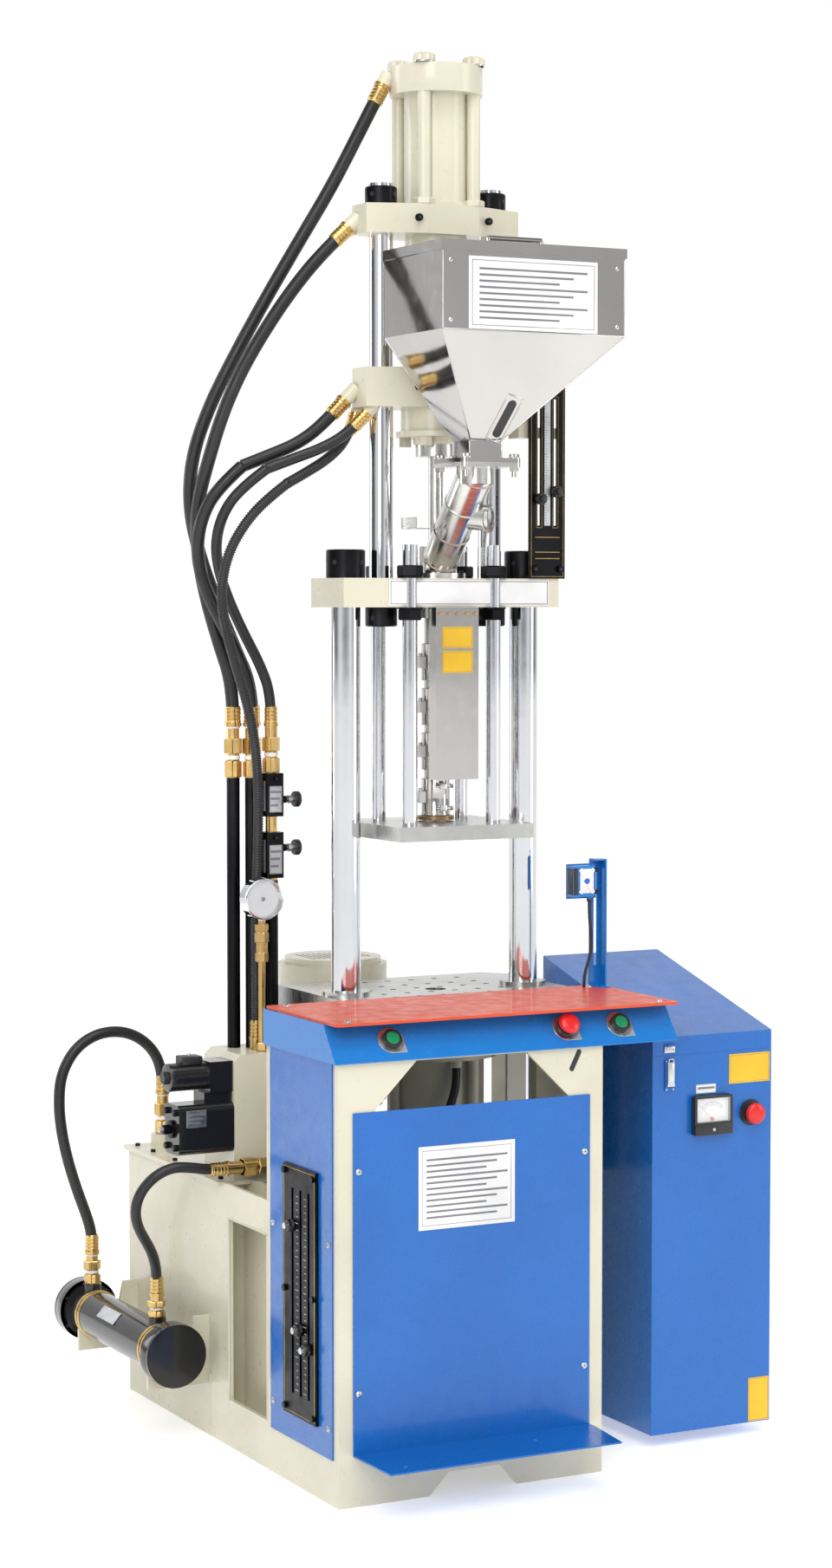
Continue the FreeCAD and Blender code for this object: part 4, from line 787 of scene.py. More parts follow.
@dataclass
class Hoses:
    """Hoses, cable and conduit."""

    base_routes: dict[str, tuple[float, list[Point]]] = field(default_factory=lambda: {
        "cooler_hose_back": (22.0, [
            (60, 925, 600), (60, 925, 650), (31, 926, 700), (-18, 927, 728), (-76, 928, 728),
            (-125, 929, 700), (-154, 930, 650), (-159, 931, 592), (-153, 931, 534), (-140, 932, 478),
            (-124, 932, 426), (-107, 932, 380), (-95, 932, 346), (-90, 932, 318), (-90, 932, 290)]),
        "cooler_hose_front": (20.0, [
            (4, 482, 522), (-32, 482, 522), (-67, 484, 529), (-103, 489, 532), (-135, 498, 517),
            (-157, 511, 489), (-163, 527, 455), (-153, 544, 421), (-133, 561, 391), (-111, 577, 362),
            (-96, 591, 331), (-90, 600, 300), (-90, 600, 270)]),
        "clamp_hose": (16.0, [
            (391, 299, 710), (391, 299, 682), (385, 299, 655), (374, 299, 629), (358, 303, 605),
            (344, 310, 581), (334, 317, 555), (329, 322, 527), (329, 325, 499), (332, 327, 473),
            (332, 327, 450)]),
        "sensor_cable": (6.0, [
            (656, 262, 1016), (656, 262, 1000), (658, 263, 976), (661, 263, 946), (660, 262, 916),
            (652, 262, 892), (645, 262, 870), (645, 262, 850)]),
    })
    head_routes: dict[str, tuple[float, list[Point]]] = field(default_factory=lambda: {
        "cylinder_hose": (25.0, [
            (306, 434, 2536), (265, 442, 2456), (212, 455, 2350), (148, 472, 2240), (86, 490, 2130),
            (32, 510, 2025), (-10, 532, 1930), (-32, 556, 1840), (-26, 580, 1750), (4, 600, 1665),
            (42, 612, 1580), (82, 618, 1495), (121, 620, 1415), (121, 620, 1345)]),
        "top_plate_hose": (25.0, [
            (228, 425, 2268), (180, 432, 2222), (128, 440, 2160), (78, 449, 2088), (34, 464, 2010),
            (2, 482, 1930), (-18, 505, 1842), (-28, 540, 1755), (-14, 570, 1670), (12, 590, 1585),
            (44, 603, 1500), (74, 606, 1420), (74, 606, 1345)]),
    })
    carriage_routes: dict[str, tuple[float, list[Point]]] = field(default_factory=lambda: {
        "motor_hose": (24.0, [
            (222, 428, 1950), (182, 436, 1906), (138, 446, 1872), (90, 456, 1851), (33, 468, 1828),
            (-12, 482, 1786), (-36, 500, 1732), (-37, 520, 1672), (-15, 541, 1612), (26, 560, 1548),
            (70, 578, 1484), (105, 590, 1412), (105, 590, 1345)]),
        "motor_return_hose": (20.0, [
            (250, 392, 1925), (214, 398, 1888), (170, 410, 1862), (120, 422, 1843), (66, 433, 1822),
            (20, 446, 1786), (-8, 464, 1742), (-14, 486, 1688), (2, 506, 1632), (34, 526, 1574),
            (72, 546, 1516), (112, 562, 1458), (138, 572, 1402), (138, 572, 1345)]),
        "wiring_conduit": (20.0, [
            (252, 440, 1925), (232, 436, 1880), (194, 430, 1846), (150, 426, 1820), (104, 424, 1796),
            (60, 426, 1764), (22, 432, 1722), (-4, 442, 1674), (-14, 456, 1620), (-6, 474, 1564),
            (16, 494, 1508), (42, 512, 1448), (68, 526, 1388), (86, 536, 1325), (96, 542, 1260),
            (100, 548, 1190), (102, 556, 1110), (99, 559, 1000), (100, 560, 870), (100, 560, 750)]),
    })

    def build(self) -> None:
        """Build every hose."""
        for name, (diameter, route) in self.base_routes.items():
            obj, path = tube_mesh(route, diameter)
            self._declare(obj, name, diameter, path, [name], body="base")
        for name, (diameter, route) in self.head_routes.items():
            obj, path = tube_mesh(route, diameter)
            self._declare(obj, name, diameter, path, [name], blend=("base", "head", path[-1], path[0]))
        for name, (diameter, route) in self.carriage_routes.items():
            self._halves(name, diameter, route)

    def _halves(self, name: str, diameter: float, route: list[Point]) -> None:
        """A hose from the carriage to the base, in two lengths.

        Args:
            name: its CAD node.
            diameter: in millimetres.
            route: its route.
        """
        ribbed = name == "wiring_conduit"
        rib = {"rib": 1.4, "pitch": 5.0} if ribbed else {}
        cut = 4
        upper, up_path = tube_mesh(route[:cut + 1], diameter, **rib)
        lower, low_path = tube_mesh(route[cut:], diameter, **rib)
        self._declare(upper, name + "_upper", diameter, up_path, [name],
                      blend=("head", "carriage", up_path[-1], up_path[0]),
                      finish=CONDUIT if ribbed else RUBBER)
        self._declare(lower, name + "_lower", diameter, low_path, [name],
                      blend=("base", "head", low_path[-1], low_path[0]),
                      finish=CONDUIT if ribbed else RUBBER)

    @staticmethod
    def _declare(obj: bpy.types.Object, name: str, diameter: float, path: list[Vector], nodes: list[str],
                 body: str = "", blend: tuple = (), finish: Finish = RUBBER) -> None:
        """Args:
            obj: the tube.
            name: its name.
            diameter: not used.
            path: its centre line.
            nodes: the CAD nodes that it stands for.
            body: the body it rides on, if only one.
            blend: not used.
            finish: its finish.
        """
        dress(obj, finish)
        obj.name = obj.data.name = name + "_tube"
        if body:
            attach(obj, body)
        else:
            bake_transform(obj)
        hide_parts(*nodes)
        log.info("%s: %.3f m", name, length(path))


@dataclass
class Base:
    """Plates, screws and hooks on the welded base and its panels."""

    panel_screws: tuple[Point, ...] = ((38, -3, 200), (492, -3, 200), (38, -3, 590), (492, -3, 590))
    side_screws: tuple[Point, ...] = ((-3, 33, 135), (-3, 262, 135), (-3, 33, 459), (-3, 262, 459))
    cover_screws: tuple[Point, ...] = ((26, 14, 850), (658, 14, 850), (26, 262, 850), (658, 262, 850))

    def build(self) -> None:
        """Build every fitting of the base."""
        deliver("instruction_plate", "base", WHITE, label((155, -4.0, 476), (348, -3, 624), 11))
        self._screws("front_panel_screws", self.panel_screws, FRONT, 6.0)
        self._screws("side_panel_screws", self.side_screws, LEFT, 6.0)
        self._screws("cover_screws", self.cover_screws, UP, 6.5)
        deliver("trim_hook", "base", BLACK, [self._hook()])
        deliver("base_welds", "base", CREAM, self._welds())
        self._limit_plate()
        deliver("tank_plates", "base", ZINC, self._tank())

    @staticmethod
    def _screws(name: str, places: Sequence[Point], way: Point, r: float) -> None:
        """A set of domed screws."""
        deliver(name, "base", ZINC, row(pan_screw, places, way, r))

    @staticmethod
    def _hook() -> bpy.types.Object:
        """The round-ended black handle under the trim."""
        return bar((484, 6, 776), (464, 6, 736), 8, 20, 6)

    @staticmethod
    def _welds() -> list[bpy.types.Object]:
        """Beads along the joints of the tank, the window and the saddles."""
        runs = (((0, 291, 494), (0, 291, 790)), ((0, 466, 88), (0, 466, 430)),
                ((0, 295, 88), (0, 295, 430)),
                ((0, 296, 431), (0, 465, 431)), ((1, 535, 486), (1, 950, 486)),
                ((0, 556, 20), (0, 556, 120)))
        beads = [bar(p, q, 2.0, 10, 1.0) for p, q in runs]
        for bead in beads:
            only(bead)
            bpy.ops.object.mode_set(mode="EDIT")
            bpy.ops.mesh.select_all(action="SELECT")
            bpy.ops.mesh.subdivide(number_cuts=5)
            bpy.ops.transform.vertex_random(offset=0.0003, seed=3)
            bpy.ops.object.mode_set(mode="OBJECT")
        return beads

    @staticmethod
    def _limit_plate() -> None:
        """Gilt lines, ticks and the three clamping knobs of the slotted plate."""
        x = -9.15
        corners = ((78, 135), (202, 135), (202, 574), (78, 574))
        lines = [strip((x, *p), (x, *q), 0.55, GOLD) for p, q in zip(corners, corners[1:] + corners[:1])]
        for reach, steps in ((12, range(0, 30, 5)), (7, [k for k in range(30) if k % 5])):
            places = [(x, y, 178 + 12 * k) for y in (111, 144) for k in steps]
            lines += repeat([strip(places[0], (x, places[0][1] + reach, places[0][2]), 0.4, WHITE)], places)
        deliver("limit_plate_marks", "base", GOLD, lines)
        for number, (y, z) in enumerate(((101, 261), (134, 290), (167, 472)), 1):
            name = f"limit_knob_{number}"
            parts = knob((-9.4, y, z), LEFT, 11, 11.5, BLACK)
            parts.append(dress(turned((-20, y, z), LEFT, [(6, 0), (6, 6), (5, 7)], 24), ZINC))
            parts.append(dress(bar((-9.6, y, z), (-4, y, z), 3.4), ZINC))
            deliver(f"{name}_grip", name, BLACK, parts, [name])

    @staticmethod
    def _tank() -> list[bpy.types.Object]:
        """Filler cap and lid screws of the oil tank."""
        places = [(12, y, TANK_TOP) for y in (530, 640, 750, 860, 940)]
        places += [(x, 948, TANK_TOP) for x in (120, 240, 460, 580, 670)]
        parts = row(cap_screw, places, UP, 5)
        parts += [dress(turned((600, 870, TANK_TOP), UP, [(34, 0), (34, 6), (28, 8), (28, 34), (25, 38)],
                               36), BLACK)]
        return parts


@dataclass
class Buttons:
    """Push buttons on the sloped trim and on the cabinet."""

    starts: tuple[tuple[str, float], ...] = (("start_button_left", 110), ("start_button_right", 574))
    stop_x: float = 462
    up: Point = (0, 0.602, 0.7985)

    def build(self) -> None:
        """Build the legend plates, bezels and caps."""
        for name, x in self.starts:
            deliver(f"{name}_legend", "base", SILVER, self._on_slope(self._legend(), x))
            deliver(f"{name}_bezel", "base", BLACK, self._on_slope(self._bezel(18, 10.2, 13.2), x))
            cap = dress(turned((0, 0, 0), UP,
                               [(8.5, -14), (8.5, 7), (12.4, 7), (12.4, 11.6), (11.6, 12.4), (8, 12.9)],
                               36), GREEN)
            deliver(f"{name}_cap", name, GREEN, self._on_slope([cap], x), [name])
        deliver("stop_front_legend", "base", SILVER, self._on_slope(self._legend(), self.stop_x))
        deliver("stop_front_bezel", "base", BLACK, self._on_slope(self._bezel(15, 5.2, 9), self.stop_x))
        deliver("stop_front_cap", "stop_button_front", RED, self._on_slope([self._mushroom()], self.stop_x),
                ["stop_button_front"])
        face = (RIGHT, UP)
        deliver("stop_cabinet_bezel", "base", BLACK, stand(self._bezel(15, 5.2, 9), (909, 90, 617), *face))
        deliver("stop_cabinet_cap", "stop_button_cabinet", RED,
                stand([self._mushroom()], (909, 90, 617), *face), ["stop_button_cabinet"])

    def _on_slope(self, parts: list[bpy.types.Object], x: float) -> list[bpy.types.Object]:
        """Stand parts on the slope of the trim."""
        return stand(parts, (x, 15.5, 812.5), RIGHT, self.up)

    @staticmethod
    def _legend() -> list[bpy.types.Object]:
        """A round plate with one square corner and an arc of plain marks."""
        disc = turned((0, 0, 0), UP, [(25.2, 0.05), (25.2, 1.2), (24.9, 1.5)], 48)
        corner = block((0, -25.2, 0.06), (25.2, 0, 1.5), 0.3, 1)
        marks = [strip((6 + 3.2 * k, -20, 1.5), (8 + 3.2 * k, -20, 1.5), 0.6, PRINT) for k in range(5)]
        marks += [strip((x, -23, 1.5), (x + 3, -23, 1.5), 0.5, PRINT) for x in (8, 13, 18)]
        return [dress(disc, SILVER), dress(corner, SILVER), *marks]

    @staticmethod
    def _bezel(r: float, top: float, well: float) -> list[bpy.types.Object]:
        """A black ring round the cap."""
        ring = turned((0, 0, 0), UP,
                      [(r, 1.2), (r, top - 2), (r - 0.8, top - 0.6), (r - 2, top), (well + 0.4, top),
                                           (well, top - 3)], 48)
        return [dress(ring, BLACK)]

    @staticmethod
    def _mushroom() -> bpy.types.Object:
        """The domed red head on its plunger."""
        rings = [(8.4, -12), (8.4, 13), (17, 13), (19.6, 15), (20, 18), (19.4, 21), (17.6, 23.6),
                 (14, 25.2), (8, 26)]
        return dress(turned((0, 0, 0), UP, rings, 48), RED)


@dataclass
class Cabinet:
    """Meter, blank plates and latch of the control cabinet."""

    pivot: tuple[float, float] = (818.5, 612)

    def build(self) -> None:
        """Build every fitting of the cabinet."""
        deliver("meter_label", "base", WHITE, label((787, 88.9, 660), (831, 90, 677), 1))
        deliver("cabinet_plates", "base", YELLOW, self._plates())
        deliver("meter_face", "base", WHITE, self._meter())
        deliver("meter_window", "base", GLASS,
                [dress(block((780, 76.2, 605), (857, 77.2, 654), 0.4), GLASS)])
        self._latch()

    @staticmethod
    def _plates() -> list[bpy.types.Object]:
        """Two bare yellow plates."""
        parts = []
        for low, high in (((860, 88.8, 674), (951, 90, 730)), ((907, 88.8, 20 + 6), (953, 90, 109))):
            parts += label(low, high, 0, YELLOW)
        return parts

    def _meter(self) -> list[bpy.types.Object]:
        """The dial, its scale and the case's lower half with its zero screw."""
        x, z = self.pivot
        parts = [dress(block((782.4, 83.2, 607.4), (854.6, 83.9, 651.6)), WHITE)]
        for k in range(21):
            a = math.radians(45 + 4.5 * k)
            r0, r1 = (27, 33) if k % 5 == 0 else (30, 33)
            parts.append(strip((x + r0 * math.cos(a), 83.1, z + r0 * math.sin(a)),
                               (x + r1 * math.cos(a), 83.1, z + r1 * math.sin(a)),
                               0.45, PRINT))
        arc = [(x + 26 * math.cos(math.radians(a)), 83.1, z + 26 * math.sin(math.radians(a)))
               for a in range(45, 136, 9)]
        parts += [strip(p, q, 0.35, PRINT) for p, q in zip(arc, arc[1:])]
        parts += [dress(block((777, 74.6, 583), (860, 76.3, 604), 1.5), BLACK)]
        parts += pan_screw((818.5, 74.6, 593), FRONT, 3.2)
        return parts

    @staticmethod
    def _latch() -> None:
        """Rivets of the latch plate, the lever's finger plate and wire bail, and screws of the catch."""
        rivets = row(pan_screw, [(x, 87, z) for x in (720.5, 735.5) for z in (673, 725.5)], FRONT, 2.0)
        deliver("latch_rivets", "base", ZINC, rivets)
        lever = [dress(block((722.5, 80.9, 688), (733.5, 82, 722), 0.8), ZINC),
                 strip((720, 84.2, 681), (736, 84.2, 681), 2.8, ZINC)]
        lever += [strip((x, 82.6, 700), (x, 82.4, 730), 1.2, ZINC) for x in (723, 733)]
        lever.append(strip((723, 82.4, 730), (733, 82.4, 730), 1.2, ZINC))
        deliver("latch_finger_plate", "latch_lever", ZINC, lever)
        catch = [dress(block((716.6, 87.6, 741.6), (739.4, 88.4, 753), 0.6), ZINC)]
        catch += row(pan_screw, [(x, 87.6, 747) for x in (721, 735)], FRONT, 2.2)
        deliver("catch_plate", "cabinet_lid", ZINC, catch)


@dataclass
class Sensor:
    """The position sensor's faceplate, end cap and gland."""

    def build(self) -> None:
        """Build the sensor's dress."""
        parts = [dress(block((611.6, 245.4, 1026), (624, 270.4, 1079), 2.5), BLACK)]
        parts += [dress(block((627, 245.2, 1030), (656, 246.4, 1076), 1.0), WHITE)]
        for way in (1, -1):
            arm = block((-27, -4, 0), (27, 4, 1.6), 1.2)
            parts += stand([dress(arm, WHITE)], (641, 245.3, 1053), (0.53, 0, 0.85 * way),
                           (-0.85 * way, 0, 0.53))
        parts += row(pan_screw, [(x, 245.2, z) for x in (630, 653) for z in (1034, 1072)], FRONT, 2.4)
        parts += [dress(turned((641, 245.0, 1053), FRONT, [(6, 0), (6, 1), (5, 1.8)], 32), SENSOR_BLUE)]
        parts += [dress(turned((656, 262, 1018), DOWN, [(5.6, 0), (5.6, 5)], 6), BLACK)]
        parts += row(cap_screw, [(672, 264.5, z) for z in (1030, 1072)], FRONT, 4)
        deliver("sensor_face", "base", WHITE, parts)


@dataclass
class Valves:
    """Solenoid valve, cast pilot valve and the two flow-control valves."""

    riser: tuple[float, float] = (138, 572)

    def build(self) -> None:
        """Build the valve details."""
        deliver("solenoid_coil", "base", GLOSS_BLACK, self._coil())
        deliver("pilot_valve_dress", "base", CAST, self._pilot())
        x, y = self.riser
        for name, z0, z1, k in (("flow_knob_lower", 1055, 1142, 1111),
                                ("flow_knob_upper", 1172, 1254, 1203)):
            plate = label((x - 13, y - 20.8, z0 + 8), (x + 13, y - 20, z1 - 24), 3, SILVER)
            side = [dress(block((x - 18.6, y - 12, z0 + 10), (x - 18, y + 12, z1 - 14), 0.3), SILVER)]
            screws = cap_screw((x, y - 20, z1 - 10), FRONT, 4)
            deliver(f"{name}_plates", "base", SILVER, plate + side + screws)
            grip = [dress(turned((x + 12, y, k), RIGHT,
                                 [(4, 0), (4, 20), (8, 21), (8, 27), (6, 28), (6, 34)], 24), ZINC)]
            grip += knob((x + 46, y, k), RIGHT, 15, 12, BLACK)
            grip += [dress(turned((x + 57.6, y, k), RIGHT, [(5, 0), (5, 1.4), (3.6, 2.2)], 24), ZINC)]
            deliver(f"{name}_grip", name, ZINC, grip, [name])

    @staticmethod
    def _coil() -> list[bpy.types.Object]:
        """The ribbed coil with its end nut and plug."""
        rings = [(20, 0), (26, 1)]
        for k in range(7):
            start = 4 + 10 * k
            rings += [(26.6, start), (26.6, start + 6), (24.8, start + 6.6), (24.8, start + 9.4)]
        coil = turned((-96, 534, 692), RIGHT, rings, 40)
        nut = dress(turned((-96.4, 534, 692), LEFT, [(13, -1), (13, 7), (11.6, 8)], 6), BLACK)
        plug = block((-71, 517, 715), (-29, 551, 731), 2.5)
        screw = cap_screw((-50, 534, 731), UP, 3.4, ZINC)
        plate = dress(block((-66, 531, 717.5), (-36, 533, 729)), SILVER)
        return [dress(coil, GLOSS_BLACK), nut, dress(plug, BLACK), plate, *screw]

    @staticmethod
    def _pilot() -> list[bpy.types.Object]:
        """Cap screws, adjusting spindle and blank plate of the cast valve."""
        parts = row(cap_screw, [(-85.2, y, z) for y in (514, 554) for z in (562, 628)], LEFT, 6.4)
        parts += [dress(turned((-85, 534, 595), LEFT, [(17, 0), (17, 5), (9, 6), (9, 18), (8, 19)], 32),
                        BLACK_STEEL)]
        parts += [dress(turned((-103, 534, 595), LEFT, [(6.5, 0), (6.5, 8), (5.6, 9)], 6), ZINC)]
        parts += label((-70, 499.2, 600), (-30, 500.2, 632), 3, SILVER)
        return parts


@dataclass
class Fittings:
    """Hex nuts, crimped ferrules and tape rings at the ends of the hoses."""

    base_ends: tuple[tuple[str, Point, Point, float], ...] = (
        ("cylinder_hose", (121, 620, 1345), UP, 12.5), ("top_plate_hose", (74, 606, 1345), UP, 12.5),
        ("motor_hose", (105, 590, 1345), UP, 12), ("motor_return_hose", (138, 572, 1345), UP, 10),
        ("cooler_hose_back", (-90, 932, 290), UP, 11), ("cooler_tank", (60, 925, 600), UP, 11),
        ("cooler_hose_front", (-90, 600, 270), UP, 10), ("cooler_block", (4, 482, 522), LEFT, 10),
        ("wiring_conduit", (100, 560, 750), UP, 10))
    head_ends: tuple[tuple[str, Point, Point, float], ...] = (
        ("cylinder_hose_top", (306, 434, 2536), (-41, 8, -80), 12.5),
        ("top_plate_hose_top", (228, 425, 2268), (-48, 7, -46), 12.5))
    carriage_ends: tuple[tuple[str, Point, Point, float], ...] = (
        ("motor_hose_top", (222, 428, 1950), (-40, 8, -44), 12),
        ("motor_return_top", (250, 392, 1925), (-36, 6, -37), 10),
        ("wiring_conduit_top", (252, 440, 1925), (-20, -4, -45), 10))

    def build(self) -> None:
        """Build a ferrule at each hose end and hexagons on the swivels."""
        for body, ends in (("base", self.base_ends), ("head", self.head_ends),
                           ("carriage", self.carriage_ends)):
            for name, place, way, r in ends:
                deliver(f"{name}_ferrule", body, BRASS, self._ferrule(place, way, r))
        deliver("swivel_nuts", "base", BRASS, self._swivels())
        deliver("gauge_stem_nuts", "base", BRASS, self._stem())

    @staticmethod
    def _ferrule(place: Point, way: Point, r: float) -> list[bpy.types.Object]:
        """A crimped sleeve with ridges and a white tape ring behind it."""
        rings = [(r + 0.5, -3), (r + 4, -2), (r + 4, 4), (r + 2.2, 5)]
        for k in range(4):
            rings += [(r + 2.6, 6 + 7 * k), (r + 2.6, 10 + 7 * k), (r + 1.7, 11 + 7 * k),
                      (r + 1.7, 12 + 7 * k)]
        sleeve = turned(place, way, rings + [(r + 2.4, 34), (r + 0.6, 36)], 32)
        tape = turned(place, way, [(r + 0.9, -6), (r + 1.3, -5.6), (r + 1.3, -3)], 32)
        return [dress(sleeve, BRASS), dress(tape, WHITE)]

    @staticmethod
    def _swivels() -> list[bpy.types.Object]:
        """Pairs of chamfered hexagon nuts on every upright swivel."""
        parts = []
        for x, y, z0, z1 in ((74, 606, 1245, 1345), (105, 590, 1245, 1345), (121, 620, 1245, 1345),
                             (138, 572, 1254, 1345),
                             (-90, 600, 228, 270), (-90, 932, 228, 290), (60, 925, 518, 600)):
            third = (z1 - z0) / 3
            for r, low, high, spin in ((16.4, z0 + 1, z0 + third - 2, 0),
                                       (17.4, z0 + third * 1.36, z0 + third * 2.24, 17)):
                rings = [(r * 0.92, low), (r, low + 1.5), (r, high - 1.5), (r * 0.92, high)]
                parts.append(dress(turned((x, y, 0), UP, rings, 6, spin), BRASS))
            parts.append(dress(turned((x, y, z0 + third * 1.05), UP,
                                      [(12.8, 0), (13.2, 1), (13.2, 6), (12.8, 7)], 28), WHITE))
        return parts

    @staticmethod
    def _stem() -> list[bpy.types.Object]:
        """Hexagon parts along the gauge stem and the elbow below it."""
        parts = [dress(turned((99, 532, z), UP, [(r * 0.9, 0), (r, 1.5), (r, h - 1.5), (r * 0.9, h)], 6),
                       BRASS)
                 for r, z, h in ((13, 731, 16), (12.6, 900, 18), (13.6, 936, 20), (12.8, 958, 14))]
        parts += [dress(turned((x, 482, 522), RIGHT, [(r * 0.92, 0), (r, 1.5), (r, h - 1.5), (r * 0.92, h)],
                               6), BRASS)
                  for r, x, h in ((18, 34, 26), (15.5, 66, 16))]
        return parts


@dataclass
class Gauge:
    """Ring, dial and window of the pressure gauge."""

    place: Point = (99, 532, 1019)

    def build(self) -> None:
        """Build the gauge's face."""
        x, y, z = self.place
        front = y - 14
        rings = [(39.0, 6), (39.2, 1), (38.6, -1.0), (37, -1.9), (35, -1.9), (34.2, -0.8), (34.1, 8)]
        ring = dress(turned((x, front, z), (0, 1, 0), [(34.05, 8.2)] + [(r, h) for r, h in reversed(rings)],
                            64), CHROME)
        dial = dress(turned((x, front + 8.8, z), FRONT, [(34, 0), (34, 0.5)], 64), WHITE)
        marks = []
        for k in range(51):
            a = math.radians(225 - 5.4 * k)
            r0, r1 = (25, 30.5) if k % 5 == 0 else (28, 30.5)
            marks.append(strip((x + r0 * math.cos(a), front + 8.1, z + r0 * math.sin(a)),
                               (x + r1 * math.cos(a), front + 8.1, z + r1 * math.sin(a)), 0.45, PRINT))
        hub = dress(turned((x, front + 8.2, z), FRONT, [(4.2, 0), (4.2, 2.6), (3, 3.4)], 24), BLACK)
        deliver("gauge_dial", "base", WHITE, [dial, *marks])
        deliver("gauge_ring", "base", CHROME, [ring])
        deliver("gauge_hub", "gauge_needle", BLACK, [hub])
        deliver("gauge_window", "base", GLASS,
                [dress(turned((x, front + 0.6, z), (0, 1, 0), [(34, 0), (34, 1)], 48), GLASS)])


@dataclass
class Cooler:
    """Ribbed end caps, bolts, straps and blank plate of the oil cooler."""

    x: float = -90
    z: float = 172
    caps: tuple[tuple[float, int], ...] = ((505, -1), (985, 1))

    def build(self) -> None:
        """Build the cooler's details."""
        parts = []
        for y, way in self.caps:
            inner = y - way * 34
            parts += self._ribs(inner, way)
            for k in range(6):
                a = math.radians(30 + 60 * k)
                parts += cap_screw((self.x + 53 * math.cos(a), inner - way * 1, self.z + 53 * math.sin(a)),
                                   (0, -way, 0), 4.6)
        deliver("cooler_caps", "base", GLOSS_BLACK, parts)
        straps = []
        for y in (578, 900):
            straps += [dress(turned((self.x, y + dy, self.z), (0, 1, 0),
                                    [(45.2, 0), (47, 1), (47, 4), (45.2, 5)], 48), BRASS) for dy in (-8, 4)]
        deliver("cooler_straps", "base", BRASS, straps)
        plate = stand(label((-42, -13, -0.6), (42, 13, 0.6), 0, SILVER), (self.x - 34, 760, self.z + 30.6),
                      FRONT, (0.67, 0, 0.74))
        deliver("cooler_plate", "base", SILVER, plate)

    def _ribs(self, inner: float, way: int) -> list[bpy.types.Object]:
        """A domed end with raised ring and hub on one cap."""
        rings = [(60.3, 0), (60.3, 26), (58.5, 31), (55, 33.2), (44, 33.4), (43, 33.9), (39, 33.9),
                 (38, 33.2), (20, 33.2), (19, 34),
                 (9, 34)]
        cap = turned((self.x, inner, self.z), (0, way, 0), [(r, h * 0.998) for r, h in rings], 56)
        return [dress(cap, GLOSS_BLACK)]


@dataclass
class Motor:
    """Cooling fins, terminal box cover, cowl slots and bolts of the electric motor."""

    place: tuple[float, float] = (358, 760)
    fins: int = 40
    behind_box: tuple[int, ...] = (19, 20, 21)

    def build(self) -> None:
        """Build the motor's details."""
        x, y = self.place
        model = block((99, -1.3, 590), (107.4, 1.3, 792), 0.5)
        fins = []
        for k in [k for k in range(self.fins) if k not in self.behind_box]:
            turn = Matrix.Rotation(math.tau * k / self.fins, 4, "Z")
            fin = twin(model)
            fin.data.transform(Matrix.Translation(at(x, y, 0)) @ turn @ Matrix.Translation(-ORIGIN))
            fins.append(fin)
        bpy.data.objects.remove(model)
        deliver("motor_fins", "base", CREAM, fins)
        box = [dress(block((x - 153, y - 42, 645), (x - 149, y + 42, 735), 2), CREAM)]
        box += row(cap_screw, [(x - 153, y + dy, z) for dy in (-34, 34) for z in (653, 727)], LEFT, 3.6)
        box += [dress(turned((x - 120, y - 45, 668), FRONT, [(13, 0), (13, 6), (11, 7), (11, 16), (9, 18)],
                             6), BLACK)]
        deliver("terminal_box_cover", "base", CREAM, box)
        cowl = [dress(turned((x, y, 876), UP, [(94, -3), (90, -0.4), (70, -0.2)], 64), CREAM)]
        # the black strips laid on the cowl are painted shade of its vent slots
        slot = dress(block((x - 62, y - 44, 875.4), (x - 58, y + 44, 876.3), 0.4), BLACK)
        cowl += repeat([slot], [(12 * k, 0, 0) for k in range(11)])
        for k in range(4):
            way = (math.cos(k * QUARTER + 0.7), math.sin(k * QUARTER + 0.7), 0)
            cowl += pan_screw((x + 108 * way[0], y + 108 * way[1], 818), way, 5)
        deliver("motor_cowl_dress", "base", CREAM, cowl)
        places = on_circle(self.place, 88, [k * EIGHTH + 0.39 for k in range(8)], 508)
        bolts = row(cap_screw, places, UP, 7)
        deliver("bell_bolts", "base", BLACK_STEEL, bolts)


